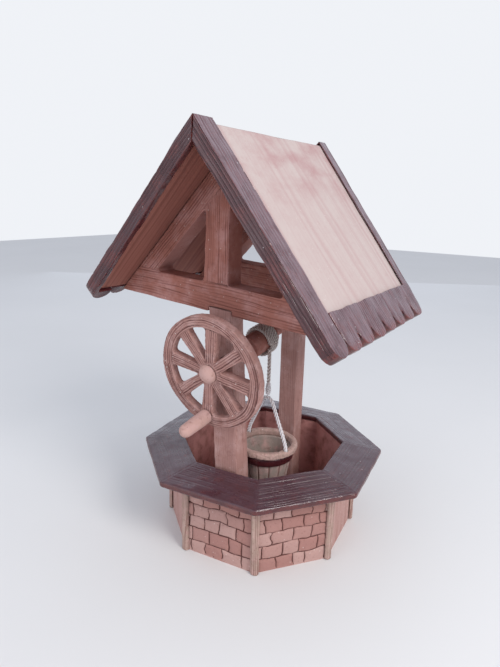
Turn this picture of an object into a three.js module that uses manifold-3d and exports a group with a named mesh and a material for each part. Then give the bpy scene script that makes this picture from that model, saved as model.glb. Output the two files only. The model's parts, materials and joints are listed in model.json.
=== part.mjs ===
// A slab-built clay wishing well: an eight-sided planter tub, two posts, a
// crank wheel with its drum and cord, a bucket, and a lift-off gable roof.
//
// Lengths are in millimetres. +X is right, +Y is back along the ridge and the
// axle, +Z is up, and the origin is the centre of the tub's standing face.
import * as THREE from 'three';
import { mergeVertices } from 'three/addons/utils/BufferGeometryUtils.js';
import Module from 'manifold-3d';

const wasm = await Module();
wasm.setup();

const degree = Math.PI / 180;

// Seams between pressed pieces, running clearance, and how far cuts run over
const seam = 0.3;
const runningClearance = 0.4;
const cutOverrun = 5;

// Tub
const tubSides = 8;
const tubTurnAngle = 7 * degree;
const wallApothem = 112;
const wallThickness = 13;
const floorThickness = 12;
const stripRadius = 5.4;
const stripArcSteps = 10;

// Rim planks, which slope outwards
const rimOuterApothem = 145;
const rimInnerApothem = 96.5;
const rimOuterHeight = 104.5;
const rimRise = 8;
const rimThickness = 8;
const rimEdgeRadius = 2.8;
const cornerSteps = 3;

// Posts
const postHeadHeight = 299.5;
const frontPostFace = -92.5;
const frontPostDepth = 24;
const frontPostFootX = 13.7;
const frontPostHeadX = -3;
const frontPostFootWidth = 33;
const frontPostHeadWidth = 30;
const backPostFace = 58.5;
const backPostDepth = 23;
const backPostX = 2.5;
const backPostWidth = 26;

// Axle and its drum
const axleX = 5;
const axleReferenceY = -80;
const axleBelowHead = 58.5;
const axleTiltAngle = 8 * degree;
const journalRadius = 7;
const journalTail = 6;
const drumRadius = 14.5;
const drumFront = -47;
const drumBack = 1;
const turnedSegments = 24;

// Crank wheel
const wheelBack = -112;
const wheelThickness = 10;
const wheelRadius = 65;
const ringWidth = 12.75;
const spokeCount = 8;
const spokeStartAngle = -99 * degree;
const windowTipRadius = 14.5;
const spokeRimWidth = 15;
const windowCorner = 4;
const windowTipCorner = 3;
const windowArcSteps = 5;
const wheelSegments = 48;

// Hub cap and handle on the wheel
const hubCapRadius = 11;
const hubCapHeight = 8;
const handleRadius = 8.5;
const handleTipRadius = 7.6;
const handleLength = 42;
const handleDistance = 54;
const domeSteps = 6;

// Cord, its turns on the drum and its knots
const cordDiameter = 4.8;
const turnGap = 0.5;
const drumTurns = 3.6;
const leadOutTurns = 0.6;
const leadOutShare = 0.6;
const stepsPerTurn = 24;
const tubeSides = 6;
const cordSides = 10;
const firstTurnY = -25.5;
const anchorKnotRadius = 4.6;
const anchorKnotLength = 8;
const hitchRadius = 5.2;
const hitchLength = 16;
const knotSteps = 6;

// Bucket
const bucketRimHeight = 125;
const bucketHeight = 70;
const bucketTopRadius = 33;
const bucketFootRadius = 23;
const bucketWall = 4;
const bucketBaseThickness = 5;
const collarOuterRadius = 39;
const collarInnerRadius = 30.5;
const collarHeight = 9;
const collarRounding = 3.2;
const hoopHeight = 10.5;
const hoopProud = 2.6;
const hoopRounding = 1.6;
const bailTurnAngle = -17 * degree;
const bailHoleDistance = 34.5;
const bailHoleDepth = 4.5;
const bailHoleClearance = 0.7;
const bailHoleSegments = 12;

// Roof slabs, verges and eaves
const roofX = -3;
const roofLeanAngle = 4 * degree;
const roofApexRise = 191;
const roofHalfSpan = 165.5;
const roofDrop = 194.5;
const roofFront = -142;
const ridgeLead = 11.7;
const roofBack = 116;
const slabThickness = 9.5;
const vergeProud = 3;
const bargeDepth = 16;
const bargeThickness = 8;
const frontVergeWidth = 29;
const backVergeWidth = 17;
const eaveBandWidth = 42;
const lobeLength = 15;
const lobeCount = 7;
const lobeSlotWidth = 2.2;
const lobeSteps = 8;
const lobeSquareness = 2.3;

// Roof trusses
const trussDepth = 27;
const tieBeamTop = 26.5;
const notchDepth = 5;
const notchSideClearance = 1;
const leftRafterWidth = 22;
const rightRafterWidth = 34;
const kingPostWidth = 31.5;
const kingPostLean = -2.5 * degree;

// Sizes that follow from the ones above
const sideAngle = (2 * Math.PI) / tubSides;
const mitreAngle = sideAngle / 2;
const rimSlope = rimRise / (rimOuterApothem - rimInnerApothem);
const wallInnerApothem = wallApothem - wallThickness;
const axleReferenceHeight = postHeadHeight - axleBelowHead;
const spokeHalfAngle = Math.PI / spokeCount;
const drumWindingRadius = drumRadius + seam + cordDiameter / 2;
const turnPitch = cordDiameter + turnGap;
const bucketX = axleX + drumWindingRadius;
const bucketY = firstTurnY;
const bucketFootHeight = bucketRimHeight - bucketHeight;
const roofSlope = Math.atan2(roofDrop, roofHalfSpan);
const slopeLength = Math.hypot(roofDrop, roofHalfSpan);
const slabEnd = slopeLength - lobeLength - seam;
const slabFront = roofFront + bargeThickness + seam;
const slabBack = roofBack - bargeThickness - seam;
const slabUnderside = -(vergeProud + slabThickness);

// Plumb drop of the cord and the bail's route, chosen by hand. The bail's
// points are measured from the bucket's axis, along the bail and up.
const dropRoute = [
  [22.2, -25.5, 243.5],
  [22.2, -25.5, 229],
  [22.2, -25.5, 215],
  [22.2, -25.5, 201.4],
];
const bailRoute = [
  [-34.5, 121],
  [-34.5, 125],
  [-33.4, 130.5],
  [-30, 138],
  [-19.5, 157.2],
  [-12, 170.8],
  [-7.8, 178.1],
  [-4, 181.2],
  [0, 182],
  [4, 181.2],
  [7.8, 178.1],
  [12, 170.8],
  [19.5, 157.2],
  [30, 138],
  [33.4, 130.5],
  [34.5, 125],
  [34.5, 121],
];
const bailStepsPerPoint = 2;

// Clay, glaze and cord
const bareClay = new THREE.MeshStandardMaterial({ color: 0x9a5f4e, roughness: 0.9 });
const smoothClay = new THREE.MeshStandardMaterial({ color: 0xc59a80, roughness: 0.8 });
const panelClay = new THREE.MeshStandardMaterial({ color: 0xc9a797, roughness: 0.85 });
const brickClay = new THREE.MeshStandardMaterial({ color: 0xa0645a, roughness: 0.85 });
const stripClay = new THREE.MeshStandardMaterial({ color: 0x8f7d62, roughness: 0.8 });
const rimGlaze = new THREE.MeshStandardMaterial({ color: 0x55363a, roughness: 0.35 });
const roofGlaze = new THREE.MeshStandardMaterial({ color: 0x4a2a30, roughness: 0.25 });
const staveClay = new THREE.MeshStandardMaterial({ color: 0x8c8671, roughness: 0.85 });
const collarClay = new THREE.MeshStandardMaterial({ color: 0xb79482, roughness: 0.85 });
const hoopGlaze = new THREE.MeshStandardMaterial({ color: 0x47292c, roughness: 0.3 });
const cordFibre = new THREE.MeshStandardMaterial({ color: 0xb9b6b4, roughness: 0.95 });

function addPiece(parent, name, geometry, material) {
  const mesh = new THREE.Mesh(geometry, material);
  mesh.name = name;
  parent.add(mesh);
  return mesh;
}

function toSolid(geometry) {
  const bare = geometry.clone();
  bare.deleteAttribute('normal');
  bare.deleteAttribute('uv');
  const merged = mergeVertices(bare);
  return new wasm.Manifold(new wasm.Mesh({
    numProp: 3,
    vertProperties: Float32Array.from(merged.getAttribute('position').array),
    triVerts: Uint32Array.from(merged.index.array),
  }));
}

function toGeometry(solid) {
  const mesh = solid.getMesh();
  const geometry = new THREE.BufferGeometry();
  geometry.setAttribute('position', new THREE.BufferAttribute(mesh.vertProperties, 3));
  geometry.setIndex(new THREE.BufferAttribute(mesh.triVerts, 1));
  geometry.computeVertexNormals();
  return geometry;
}

function cutAway(geometry, ...cutters) {
  return toGeometry(cutters.reduce((solid, cutter) => solid.subtract(toSolid(cutter)), toSolid(geometry)));
}

// The same piece for the other side of the ridge
function mirrored(geometry) {
  const copy = mergeVertices(geometry.clone().deleteAttribute('normal').deleteAttribute('uv'));
  copy.scale(-1, 1, 1);
  const index = copy.index.array;
  for (let i = 0; i < index.length; i += 3) {
    const second = index[i + 1];
    index[i + 1] = index[i + 2];
    index[i + 2] = second;
  }
  copy.computeVertexNormals();
  return copy;
}

function point(x, y) {
  return new THREE.Vector2(x, y);
}

function arc(centreX, centreY, radius, from, to, steps) {
  return Array.from({ length: steps + 1 }, (_, i) => {
    const angle = from + ((to - from) * i) / steps;
    return point(centreX + radius * Math.cos(angle), centreY + radius * Math.sin(angle));
  });
}

// An outline's corner as a curve that leaves each side one rounding away
function roundedCorner(before, corner, after, rounding, steps) {
  const start = corner.clone().add(before.clone().sub(corner).setLength(rounding));
  const end = corner.clone().add(after.clone().sub(corner).setLength(rounding));
  return new THREE.QuadraticBezierCurve(start, corner, end).getPoints(steps);
}

function roundedOutline(corners, rounding, steps) {
  const last = corners.length - 1;
  return corners.flatMap((corner, i) => {
    const before = corners[i === 0 ? last : i - 1];
    const after = corners[i === last ? 0 : i + 1];
    return roundedCorner(before, corner, after, rounding, steps);
  });
}

function prism(outline, depth) {
  return new THREE.ExtrudeGeometry(new THREE.Shape(outline), { depth, bevelEnabled: false });
}

// An outline in X and Z, carried back along Y from the given front
function uprightPrism(outline, front, depth) {
  return prism(outline, depth).rotateX(Math.PI / 2).translate(0, front + depth, 0);
}

// A closed section in radius and height, turned about Y
function turned(section, segments) {
  return new THREE.LatheGeometry(section, segments);
}

function turnedUpright(section, segments) {
  return turned(section, segments).rotateX(Math.PI / 2);
}

// Tub: floor, eight walls, eight corner strips and eight rim planks
function rimUnderside(apothem) {
  return rimOuterHeight - rimThickness + (rimOuterApothem - apothem) * rimSlope;
}

function octagon(apothem) {
  const radius = apothem / Math.cos(mitreAngle);
  return Array.from({ length: tubSides }, (_, i) => {
    const angle = -Math.PI / 2 - mitreAngle + i * sideAngle;
    return point(radius * Math.cos(angle), radius * Math.sin(angle));
  });
}

// A profile in distance and height, run between the two mitres of one side
function mitredSide(profile) {
  const geometry = prism(profile, 1);
  const position = geometry.getAttribute('position');
  const endGap = seam / 2 / Math.cos(mitreAngle);
  for (let i = 0; i < position.count; i += 1) {
    const halfLength = position.getX(i) * Math.tan(mitreAngle) - endGap;
    position.setZ(i, position.getZ(i) > 0 ? halfLength : -halfLength);
  }
  geometry.rotateX(Math.PI / 2);
  geometry.computeVertexNormals();
  return geometry;
}

function wallGeometry() {
  return mitredSide([
    point(wallApothem, 0),
    point(wallApothem, rimUnderside(wallApothem) - seam),
    point(wallInnerApothem, rimUnderside(wallInnerApothem) - seam),
    point(wallInnerApothem, 0),
  ]);
}

function rimPlankGeometry() {
  const outerLow = rimUnderside(rimOuterApothem);
  const innerLow = rimUnderside(rimInnerApothem);
  const corners = [
    point(rimInnerApothem, innerLow),
    point(rimOuterApothem, outerLow),
    point(rimOuterApothem, outerLow + rimThickness),
    point(rimInnerApothem, innerLow + rimThickness),
  ];
  return mitredSide(roundedOutline(corners, rimEdgeRadius, cornerSteps));
}

function cornerStripGeometry() {
  const corner = (wallApothem + seam) / Math.cos(mitreAngle);
  const reach = Math.PI / 2 + mitreAngle;
  const outline = [point(corner, 0), ...arc(corner, 0, stripRadius, -reach, reach, stripArcSteps)];
  const geometry = prism(outline, 1);
  const position = geometry.getAttribute('position');
  for (let i = 0; i < position.count; i += 1) {
    const across = Math.abs(position.getY(i)) * Math.sin(mitreAngle);
    const apothem = position.getX(i) * Math.cos(mitreAngle) + across;
    position.setZ(i, position.getZ(i) > 0 ? rimUnderside(apothem) - seam : 0);
  }
  geometry.computeVertexNormals();
  return geometry;
}

function makeTub() {
  const tub = new THREE.Group();
  tub.rotation.z = tubTurnAngle;
  addPiece(tub, 'tub_floor', prism(octagon(wallInnerApothem - seam), floorThickness), bareClay);
  for (let i = 0; i < tubSides; i += 1) {
    const facing = -Math.PI / 2 + i * sideAngle;
    addPiece(tub, `tub_wall_${i + 1}`, wallGeometry(), brickClay).rotation.z = facing;
    addPiece(tub, `rim_plank_${i + 1}`, rimPlankGeometry(), rimGlaze).rotation.z = facing;
    const strip = addPiece(tub, `corner_strip_${i + 1}`, cornerStripGeometry(), stripClay);
    strip.rotation.z = facing - mitreAngle;
  }
  return tub;
}

// Axle: places along it are measured from the reference point
function alongAxle(y) {
  return (y - axleReferenceY) / Math.cos(axleTiltAngle);
}

function placeOnAxle(object) {
  object.position.set(axleX, axleReferenceY, axleReferenceHeight);
  object.rotation.x = axleTiltAngle;
  return object;
}

// Posts, each with a head cut to the roof's lean and a bore for the axle
function postHead(x, headX) {
  return postHeadHeight - (x - headX) * Math.tan(roofLeanAngle);
}

function postGeometry(foot, head, front, depth) {
  const footLeft = foot.x - foot.width / 2;
  const footRight = foot.x + foot.width / 2;
  const headLeft = head.x - head.width / 2;
  const headRight = head.x + head.width / 2;
  const outline = [
    point(footLeft, floorThickness + seam),
    point(footRight, floorThickness + seam),
    point(headRight, postHead(headRight, head.x)),
    point(headLeft, postHead(headLeft, head.x)),
  ];
  const boreRadius = (journalRadius + runningClearance) / Math.cos(Math.PI / turnedSegments);
  const boreLength = depth + 2 * cutOverrun;
  const bore = new THREE.CylinderGeometry(boreRadius, boreRadius, boreLength, turnedSegments);
  bore.translate(0, alongAxle(front + depth / 2), 0);
  const placed = placeOnAxle(new THREE.Object3D());
  placed.updateMatrix();
  bore.applyMatrix4(placed.matrix);
  return cutAway(uprightPrism(outline, front, depth), bore);
}

function makePosts(parent) {
  const frontFoot = { x: frontPostFootX, width: frontPostFootWidth };
  const frontHead = { x: frontPostHeadX, width: frontPostHeadWidth };
  const back = { x: backPostX, width: backPostWidth };
  const frontPost = postGeometry(frontFoot, frontHead, frontPostFace, frontPostDepth);
  addPiece(parent, 'front_post', frontPost, bareClay);
  addPiece(parent, 'back_post', postGeometry(back, back, backPostFace, backPostDepth), bareClay);
}

// Windlass: axle with its drum, wheel, hub cap, handle and the wound cord
function axleGeometry() {
  const start = alongAxle(wheelBack) - wheelThickness + runningClearance;
  const end = alongAxle(backPostFace + backPostDepth) + journalTail;
  const drumStart = alongAxle(drumFront);
  const drumEnd = alongAxle(drumBack);
  return turned([
    point(0, start),
    point(journalRadius, start),
    point(journalRadius, drumStart),
    point(drumRadius, drumStart),
    point(drumRadius, drumEnd),
    point(journalRadius, drumEnd),
    point(journalRadius, end),
    point(0, end),
  ], turnedSegments);
}

function wheelWindow(facing) {
  const inner = wheelRadius - ringWidth;
  const halfGap = spokeHalfAngle - Math.asin(spokeRimWidth / 2 / inner);
  const at = (radius, angle) => point(radius * Math.cos(facing + angle), radius * Math.sin(facing + angle));
  const tip = at(windowTipRadius, 0);
  const low = at(inner, -halfGap);
  const high = at(inner, halfGap);
  const cornerTurn = windowCorner / inner;
  const rim = arc(0, 0, inner, facing - halfGap + cornerTurn, facing + halfGap - cornerTurn, windowArcSteps);
  return [
    ...roundedCorner(high, tip, low, windowTipCorner, cornerSteps),
    ...roundedCorner(tip, low, rim[0], windowCorner, cornerSteps).slice(0, cornerSteps),
    ...rim,
    ...roundedCorner(rim[rim.length - 1], high, tip, windowCorner, cornerSteps).slice(1),
  ];
}

function wheelGeometry() {
  const outline = arc(0, 0, wheelRadius, 0, 2 * Math.PI, wheelSegments).slice(0, wheelSegments);
  const wheel = new THREE.Shape(outline);
  for (let i = 0; i < spokeCount; i += 1) {
    const facing = spokeStartAngle + (2 * i + 1) * spokeHalfAngle;
    wheel.holes.push(new THREE.Path(wheelWindow(facing)));
  }
  const boreRadius = (journalRadius + seam) / Math.cos(Math.PI / turnedSegments);
  const bore = arc(0, 0, boreRadius, 0, 2 * Math.PI, turnedSegments).slice(0, turnedSegments);
  wheel.holes.push(new THREE.Path(bore));
  const geometry = new THREE.ExtrudeGeometry(wheel, { depth: wheelThickness, bevelEnabled: false });
  return geometry.rotateX(Math.PI / 2);
}

// A flattened dome with its foot at zero, bulging towards -Y
function domeGeometry(radius, height) {
  const profile = Array.from({ length: domeSteps + 1 }, (_, i) => {
    const angle = (i / domeSteps) * (Math.PI / 2);
    return point(radius * Math.sin(angle), -height * Math.cos(angle));
  });
  return turned([...profile, point(0, 0)], turnedSegments);
}

// A round peg with its root at zero and a domed tip towards -Y
function handleGeometry() {
  const domeStart = -(handleLength - handleTipRadius);
  const tip = Array.from({ length: domeSteps + 1 }, (_, i) => {
    const angle = (i / domeSteps) * (Math.PI / 2);
    return point(handleTipRadius * Math.sin(angle), domeStart - handleTipRadius * Math.cos(angle));
  });
  return turned([...tip, point(handleRadius, 0), point(0, 0)], turnedSegments);
}

// One unbroken tube through the points, with a flat cap at each end
function tubeThrough(points, radius, tangents) {
  const vertices = [];
  const triangles = [];
  points.forEach((centre, i) => {
    const tangent = tangents[i];
    const outward = new THREE.Vector3(centre.x, 0, centre.z);
    const side = outward.clone().sub(tangent.clone().multiplyScalar(outward.dot(tangent))).normalize();
    const up = new THREE.Vector3().crossVectors(tangent, side);
    for (let j = 0; j < tubeSides; j += 1) {
      const angle = (2 * Math.PI * j) / tubeSides;
      const spot = centre.clone()
        .addScaledVector(side, radius * Math.cos(angle))
        .addScaledVector(up, radius * Math.sin(angle));
      vertices.push(spot.x, spot.y, spot.z);
    }
  });
  for (let i = 0; i < points.length - 1; i += 1) {
    for (let j = 0; j < tubeSides; j += 1) {
      const a = i * tubeSides + j;
      const b = i * tubeSides + ((j + 1) % tubeSides);
      triangles.push(a, b, b + tubeSides, a, b + tubeSides, a + tubeSides);
    }
  }
  const last = (points.length - 1) * tubeSides;
  for (let j = 1; j < tubeSides - 1; j += 1) {
    triangles.push(0, j + 1, j);
    triangles.push(last, last + j, last + j + 1);
  }
  const geometry = new THREE.BufferGeometry();
  geometry.setAttribute('position', new THREE.Float32BufferAttribute(vertices, 3));
  geometry.setIndex(triangles);
  geometry.computeVertexNormals();
  return geometry;
}

// A point on the wound cord, so many turns up from where it leaves the drum
function windingPoint(turns) {
  const leadOut = Math.max(0, turns - (drumTurns - leadOutTurns)) * leadOutShare;
  const angle = turns * 2 * Math.PI;
  return new THREE.Vector3(
    drumWindingRadius * Math.cos(angle),
    alongAxle(firstTurnY) + (turns + leadOut) * turnPitch,
    drumWindingRadius * Math.sin(angle),
  );
}

function windingCentreline() {
  const steps = Math.round(drumTurns * stepsPerTurn);
  const turns = Array.from({ length: steps + 1 }, (_, i) => windingPoint((drumTurns * i) / steps));
  const plumb = new THREE.Vector3(0, Math.sin(axleTiltAngle), Math.cos(axleTiltAngle));
  const endAngle = drumTurns * 2 * Math.PI;
  const leaving = new THREE.Vector3(-Math.sin(endAngle), 0, Math.cos(endAngle));
  const tangents = turns.map((_, i) => {
    const before = turns[Math.max(0, i - 1)];
    const after = turns[Math.min(steps, i + 1)];
    return after.clone().sub(before).normalize();
  });
  tangents[0] = plumb.clone();
  tangents[steps] = leaving.clone();
  const start = turns[0].clone().addScaledVector(plumb, -cordDiameter);
  const end = turns[steps].clone().addScaledVector(leaving, cordDiameter);
  return {
    points: [start, ...turns, end],
    tangents: [plumb, ...tangents, leaving],
    end,
    leaving,
  };
}

function leastGapToItself(points) {
  let least = Infinity;
  points.forEach((first, i) => {
    points.slice(i + stepsPerTurn / 2).forEach((second) => {
      least = Math.min(least, first.distanceTo(second) - cordDiameter);
    });
  });
  return least;
}

// A knot as a barrel with flat ends as wide as the cord, centred on Y
function knotGeometry(radius, length) {
  const profile = Array.from({ length: knotSteps + 1 }, (_, i) => {
    const angle = (i / knotSteps) * Math.PI;
    const bulge = radius - cordDiameter / 2;
    return point(cordDiameter / 2 + bulge * Math.sin(angle), -length / 2 + (length * i) / knotSteps);
  });
  return turned([point(0, -length / 2), ...profile, point(0, length / 2)], turnedSegments / 2);
}

function makeWindlass() {
  const windlass = placeOnAxle(new THREE.Group());
  addPiece(windlass, 'axle_drum', axleGeometry(), bareClay);
  const wheelStart = alongAxle(wheelBack);
  addPiece(windlass, 'crank_wheel', wheelGeometry(), bareClay).position.y = wheelStart;
  const wheelFace = wheelStart - wheelThickness - seam;
  addPiece(windlass, 'wheel_hub_cap', domeGeometry(hubCapRadius, hubCapHeight), smoothClay).position.y = wheelFace;
  addPiece(windlass, 'wheel_handle', handleGeometry(), smoothClay).position.set(
    handleDistance * Math.cos(spokeStartAngle),
    wheelFace,
    handleDistance * Math.sin(spokeStartAngle),
  );
  const winding = windingCentreline();
  const windingTube = tubeThrough(winding.points, cordDiameter / 2, winding.tangents);
  addPiece(windlass, 'cord_winding', windingTube, cordFibre);
  console.log(`least gap of the wound cord to itself: ${leastGapToItself(winding.points).toFixed(2)} mm`);
  const knot = addPiece(windlass, 'cord_anchor_knot', knotGeometry(anchorKnotRadius, anchorKnotLength), cordFibre);
  knot.quaternion.setFromUnitVectors(new THREE.Vector3(0, 1, 0), winding.leaving);
  knot.position.copy(winding.end).addScaledVector(winding.leaving, seam + anchorKnotLength / 2);
  return windlass;
}

// Hanging cord: the plumb drop, its hitch and the bail
function cordAlong(route, steps) {
  const path = new THREE.CatmullRomCurve3(route.map((spot) => new THREE.Vector3(...spot)), false, 'centripetal');
  const section = arc(0, 0, cordDiameter / 2, 0, 2 * Math.PI, cordSides).slice(0, cordSides);
  return new THREE.ExtrudeGeometry(new THREE.Shape(section), {
    steps,
    extrudePath: path,
    bevelEnabled: false,
  });
}

function makeHangingCord(parent) {
  addPiece(parent, 'drop_cord', cordAlong(dropRoute, dropRoute.length - 1), cordFibre);
  const hitchTop = dropRoute[dropRoute.length - 1][2] - seam;
  const hitch = knotGeometry(hitchRadius, hitchLength).rotateX(Math.PI / 2);
  hitch.translate(bucketX, bucketY, hitchTop - hitchLength / 2);
  addPiece(parent, 'cord_hitch', hitch, cordFibre);
  const bailPoints = bailRoute.map(([along, height]) => [
    bucketX + along * Math.cos(bailTurnAngle),
    bucketY + along * Math.sin(bailTurnAngle),
    height,
  ]);
  addPiece(parent, 'bail_cord', cordAlong(bailPoints, bailPoints.length * bailStepsPerPoint), cordFibre);
}

// Bucket: base disc, staved body, hoop and collar
function bucketRadius(height) {
  const share = (height - bucketFootHeight) / (bucketHeight - collarHeight);
  return bucketFootRadius + (bucketTopRadius - bucketFootRadius) * share;
}

function closedLoop(section) {
  return [...section, section[0].clone()];
}

function makeBucket() {
  const bucket = new THREE.Group();
  bucket.position.set(bucketX, bucketY, 0);
  const baseTop = bucketFootHeight + bucketBaseThickness;
  const base = turnedUpright([
    point(0, bucketFootHeight),
    point(bucketFootRadius, bucketFootHeight),
    point(bucketRadius(baseTop), baseTop),
    point(0, baseTop),
  ], turnedSegments);
  addPiece(bucket, 'bucket_base', base, staveClay);

  const bodyFoot = baseTop + seam;
  const collarFoot = bucketRimHeight - collarHeight;
  const bodyTop = collarFoot - seam;
  const body = turnedUpright(closedLoop([
    point(bucketRadius(bodyFoot), bodyFoot),
    point(bucketRadius(bodyTop), bodyTop),
    point(bucketRadius(bodyTop) - bucketWall, bodyTop),
    point(bucketRadius(bodyFoot) - bucketWall, bodyFoot),
  ]), turnedSegments);
  addPiece(bucket, 'bucket_body', body, staveClay);

  const hoopTop = bodyTop - seam;
  const hoopFoot = hoopTop - hoopHeight;
  const facetGrowth = 1 / Math.cos(Math.PI / turnedSegments);
  const hoop = turnedUpright(closedLoop([
    point((bucketRadius(hoopFoot) + seam) * facetGrowth, hoopFoot),
    ...roundedCorner(
      point(bucketRadius(hoopFoot), hoopFoot),
      point(bucketRadius(hoopFoot) + hoopProud, hoopFoot),
      point(bucketRadius(hoopTop) + hoopProud, hoopTop),
      hoopRounding,
      cornerSteps,
    ),
    ...roundedCorner(
      point(bucketRadius(hoopFoot) + hoopProud, hoopFoot),
      point(bucketRadius(hoopTop) + hoopProud, hoopTop),
      point(bucketRadius(hoopTop), hoopTop),
      hoopRounding,
      cornerSteps,
    ),
    point((bucketRadius(hoopTop) + seam) * facetGrowth, hoopTop),
  ]), turnedSegments);
  addPiece(bucket, 'bucket_hoop', hoop, hoopGlaze);

  const collarSection = roundedOutline([
    point(collarInnerRadius, collarFoot),
    point(collarOuterRadius, collarFoot),
    point(collarOuterRadius, bucketRimHeight),
    point(collarInnerRadius, bucketRimHeight),
  ], collarRounding, cornerSteps);
  const collar = turnedUpright(closedLoop(collarSection), turnedSegments);
  const holeRadius = cordDiameter / 2 + bailHoleClearance;
  const holes = [-bailHoleDistance, bailHoleDistance].map((along) => {
    const length = bailHoleDepth + cutOverrun;
    const hole = new THREE.CylinderGeometry(holeRadius, holeRadius, length, bailHoleSegments);
    hole.rotateX(Math.PI / 2);
    return hole.translate(
      along * Math.cos(bailTurnAngle),
      along * Math.sin(bailTurnAngle),
      bucketRimHeight - bailHoleDepth + length / 2,
    );
  });
  addPiece(bucket, 'bucket_collar', cutAway(collar, ...holes), collarClay);
  return bucket;
}

// Roof: pieces are drawn down the slope, along the ridge and outwards, and
// those of the right side are mirrored for the left. The front gable leads at
// the ridge, so each piece is drawn out forwards there.
function ridgeMitre(outward) {
  return (seam / 2 - outward * Math.sin(roofSlope)) / Math.cos(roofSlope);
}

function slopePlate(outline, underside, top) {
  const geometry = prism(outline, top - underside).translate(0, 0, underside);
  const position = geometry.getAttribute('position');
  for (let i = 0; i < position.count; i += 1) {
    if (position.getX(i) === 0) {
      position.setX(i, ridgeMitre(position.getZ(i)));
    }
  }
  geometry.computeVertexNormals();
  return geometry;
}

function ontoSlope(geometry) {
  const position = geometry.getAttribute('position');
  for (let i = 0; i < position.count; i += 1) {
    const upSlope = 1 - position.getX(i) / slopeLength;
    const forward = (roofBack - position.getY(i)) / (roofBack - roofFront);
    position.setY(i, position.getY(i) - ridgeLead * upSlope * forward);
  }
  geometry.computeVertexNormals();
  return geometry.rotateY(roofSlope).translate(0, 0, roofApexRise);
}

function rectangle(from, to, front, back) {
  return [point(from, front), point(to, front), point(to, back), point(from, back)];
}

// The room that the slab takes under the strips laid over it
function slabRoom() {
  const length = slabEnd + seam + cutOverrun + roofHalfSpan;
  const height = bargeDepth + cutOverrun - vergeProud + seam;
  const room = new THREE.BoxGeometry(length, slabBack - slabFront + 2 * seam, height);
  return room.translate(
    slabEnd + seam - length / 2,
    (slabBack + slabFront) / 2,
    seam - vergeProud - height / 2,
  );
}

function slabGeometry() {
  return slopePlate(rectangle(0, slabEnd, slabFront, slabBack), slabUnderside, -vergeProud);
}

function frontVergeGeometry() {
  const radius = frontVergeWidth / 2;
  const middle = roofFront + radius;
  const outline = [
    point(0, roofFront),
    ...arc(slopeLength - radius, middle, radius, -Math.PI / 2, Math.PI / 2, lobeSteps),
    point(0, roofFront + frontVergeWidth),
  ];
  return cutAway(slopePlate(outline, -bargeDepth, 0), slabRoom());
}

function backVergeGeometry() {
  const end = slopeLength - eaveBandWidth - seam;
  const outline = rectangle(0, end, roofBack - backVergeWidth, roofBack);
  return cutAway(slopePlate(outline, -bargeDepth, 0), slabRoom());
}

function eaveBandGeometry() {
  const front = roofFront + frontVergeWidth + seam;
  const pitch = (roofBack - front) / lobeCount;
  const halfLobe = (pitch - lobeSlotWidth) / 2;
  const lobeStart = slopeLength - lobeLength;
  const squared = (value) => Math.sign(value) * Math.abs(value) ** (2 / lobeSquareness);
  const outline = [point(slopeLength - eaveBandWidth, front)];
  for (let i = 0; i < lobeCount; i += 1) {
    const middle = front + (i + 0.5) * pitch;
    for (let j = 0; j <= lobeSteps; j += 1) {
      const angle = -Math.PI / 2 + (Math.PI * j) / lobeSteps;
      const reach = j === 0 || j === lobeSteps ? 0 : squared(Math.cos(angle));
      outline.push(point(lobeStart + lobeLength * reach, middle + halfLobe * squared(Math.sin(angle))));
    }
  }
  outline.push(point(slopeLength - eaveBandWidth, roofBack));
  return cutAway(slopePlate(outline, slabUnderside, 0), slabRoom());
}

// Trusses stand in the roof's own upright plane, under the slabs
function undersideHeight(x, outward) {
  return roofApexRise + outward / Math.cos(roofSlope) - x * Math.tan(roofSlope);
}

function undersideReach(height, outward) {
  return (roofApexRise + outward / Math.cos(roofSlope) - height) / Math.tan(roofSlope);
}

function tieBeamGeometry(front, headX, headWidth) {
  const outward = slabUnderside - seam;
  const lowReach = undersideReach(-notchDepth, outward);
  const topReach = undersideReach(tieBeamTop, outward);
  const notchX = (headX - roofX) * Math.cos(roofLeanAngle);
  const notchTop = (headX - roofX) * Math.sin(roofLeanAngle) + seam;
  const notchHalf = headWidth / 2 + notchSideClearance;
  return uprightPrism([
    point(-lowReach, -notchDepth),
    point(notchX - notchHalf, -notchDepth),
    point(notchX - notchHalf, notchTop),
    point(notchX + notchHalf, notchTop),
    point(notchX + notchHalf, -notchDepth),
    point(lowReach, -notchDepth),
    point(topReach, tieBeamTop),
    point(-topReach, tieBeamTop),
  ], front, trussDepth);
}

// Where the inner lines of the two rafters cross; the king post stands under it
function rafterCrossing() {
  const left = undersideHeight(0, slabUnderside - seam - leftRafterWidth);
  const right = undersideHeight(0, slabUnderside - seam - rightRafterWidth);
  return (right - left) / (2 * Math.tan(roofSlope));
}

// The right rafter; the left one is built with its crossing on the other side and mirrored
function rafterGeometry(front, width, crossing) {
  const outer = slabUnderside - seam;
  const inner = outer - width;
  const foot = tieBeamTop + seam;
  const head = crossing + seam / 2;
  return uprightPrism([
    point(seam / 2, undersideHeight(seam / 2, outer)),
    point(head, undersideHeight(head, inner)),
    point(undersideReach(foot, inner), foot),
    point(undersideReach(foot, outer), foot),
  ], front, trussDepth);
}

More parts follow.
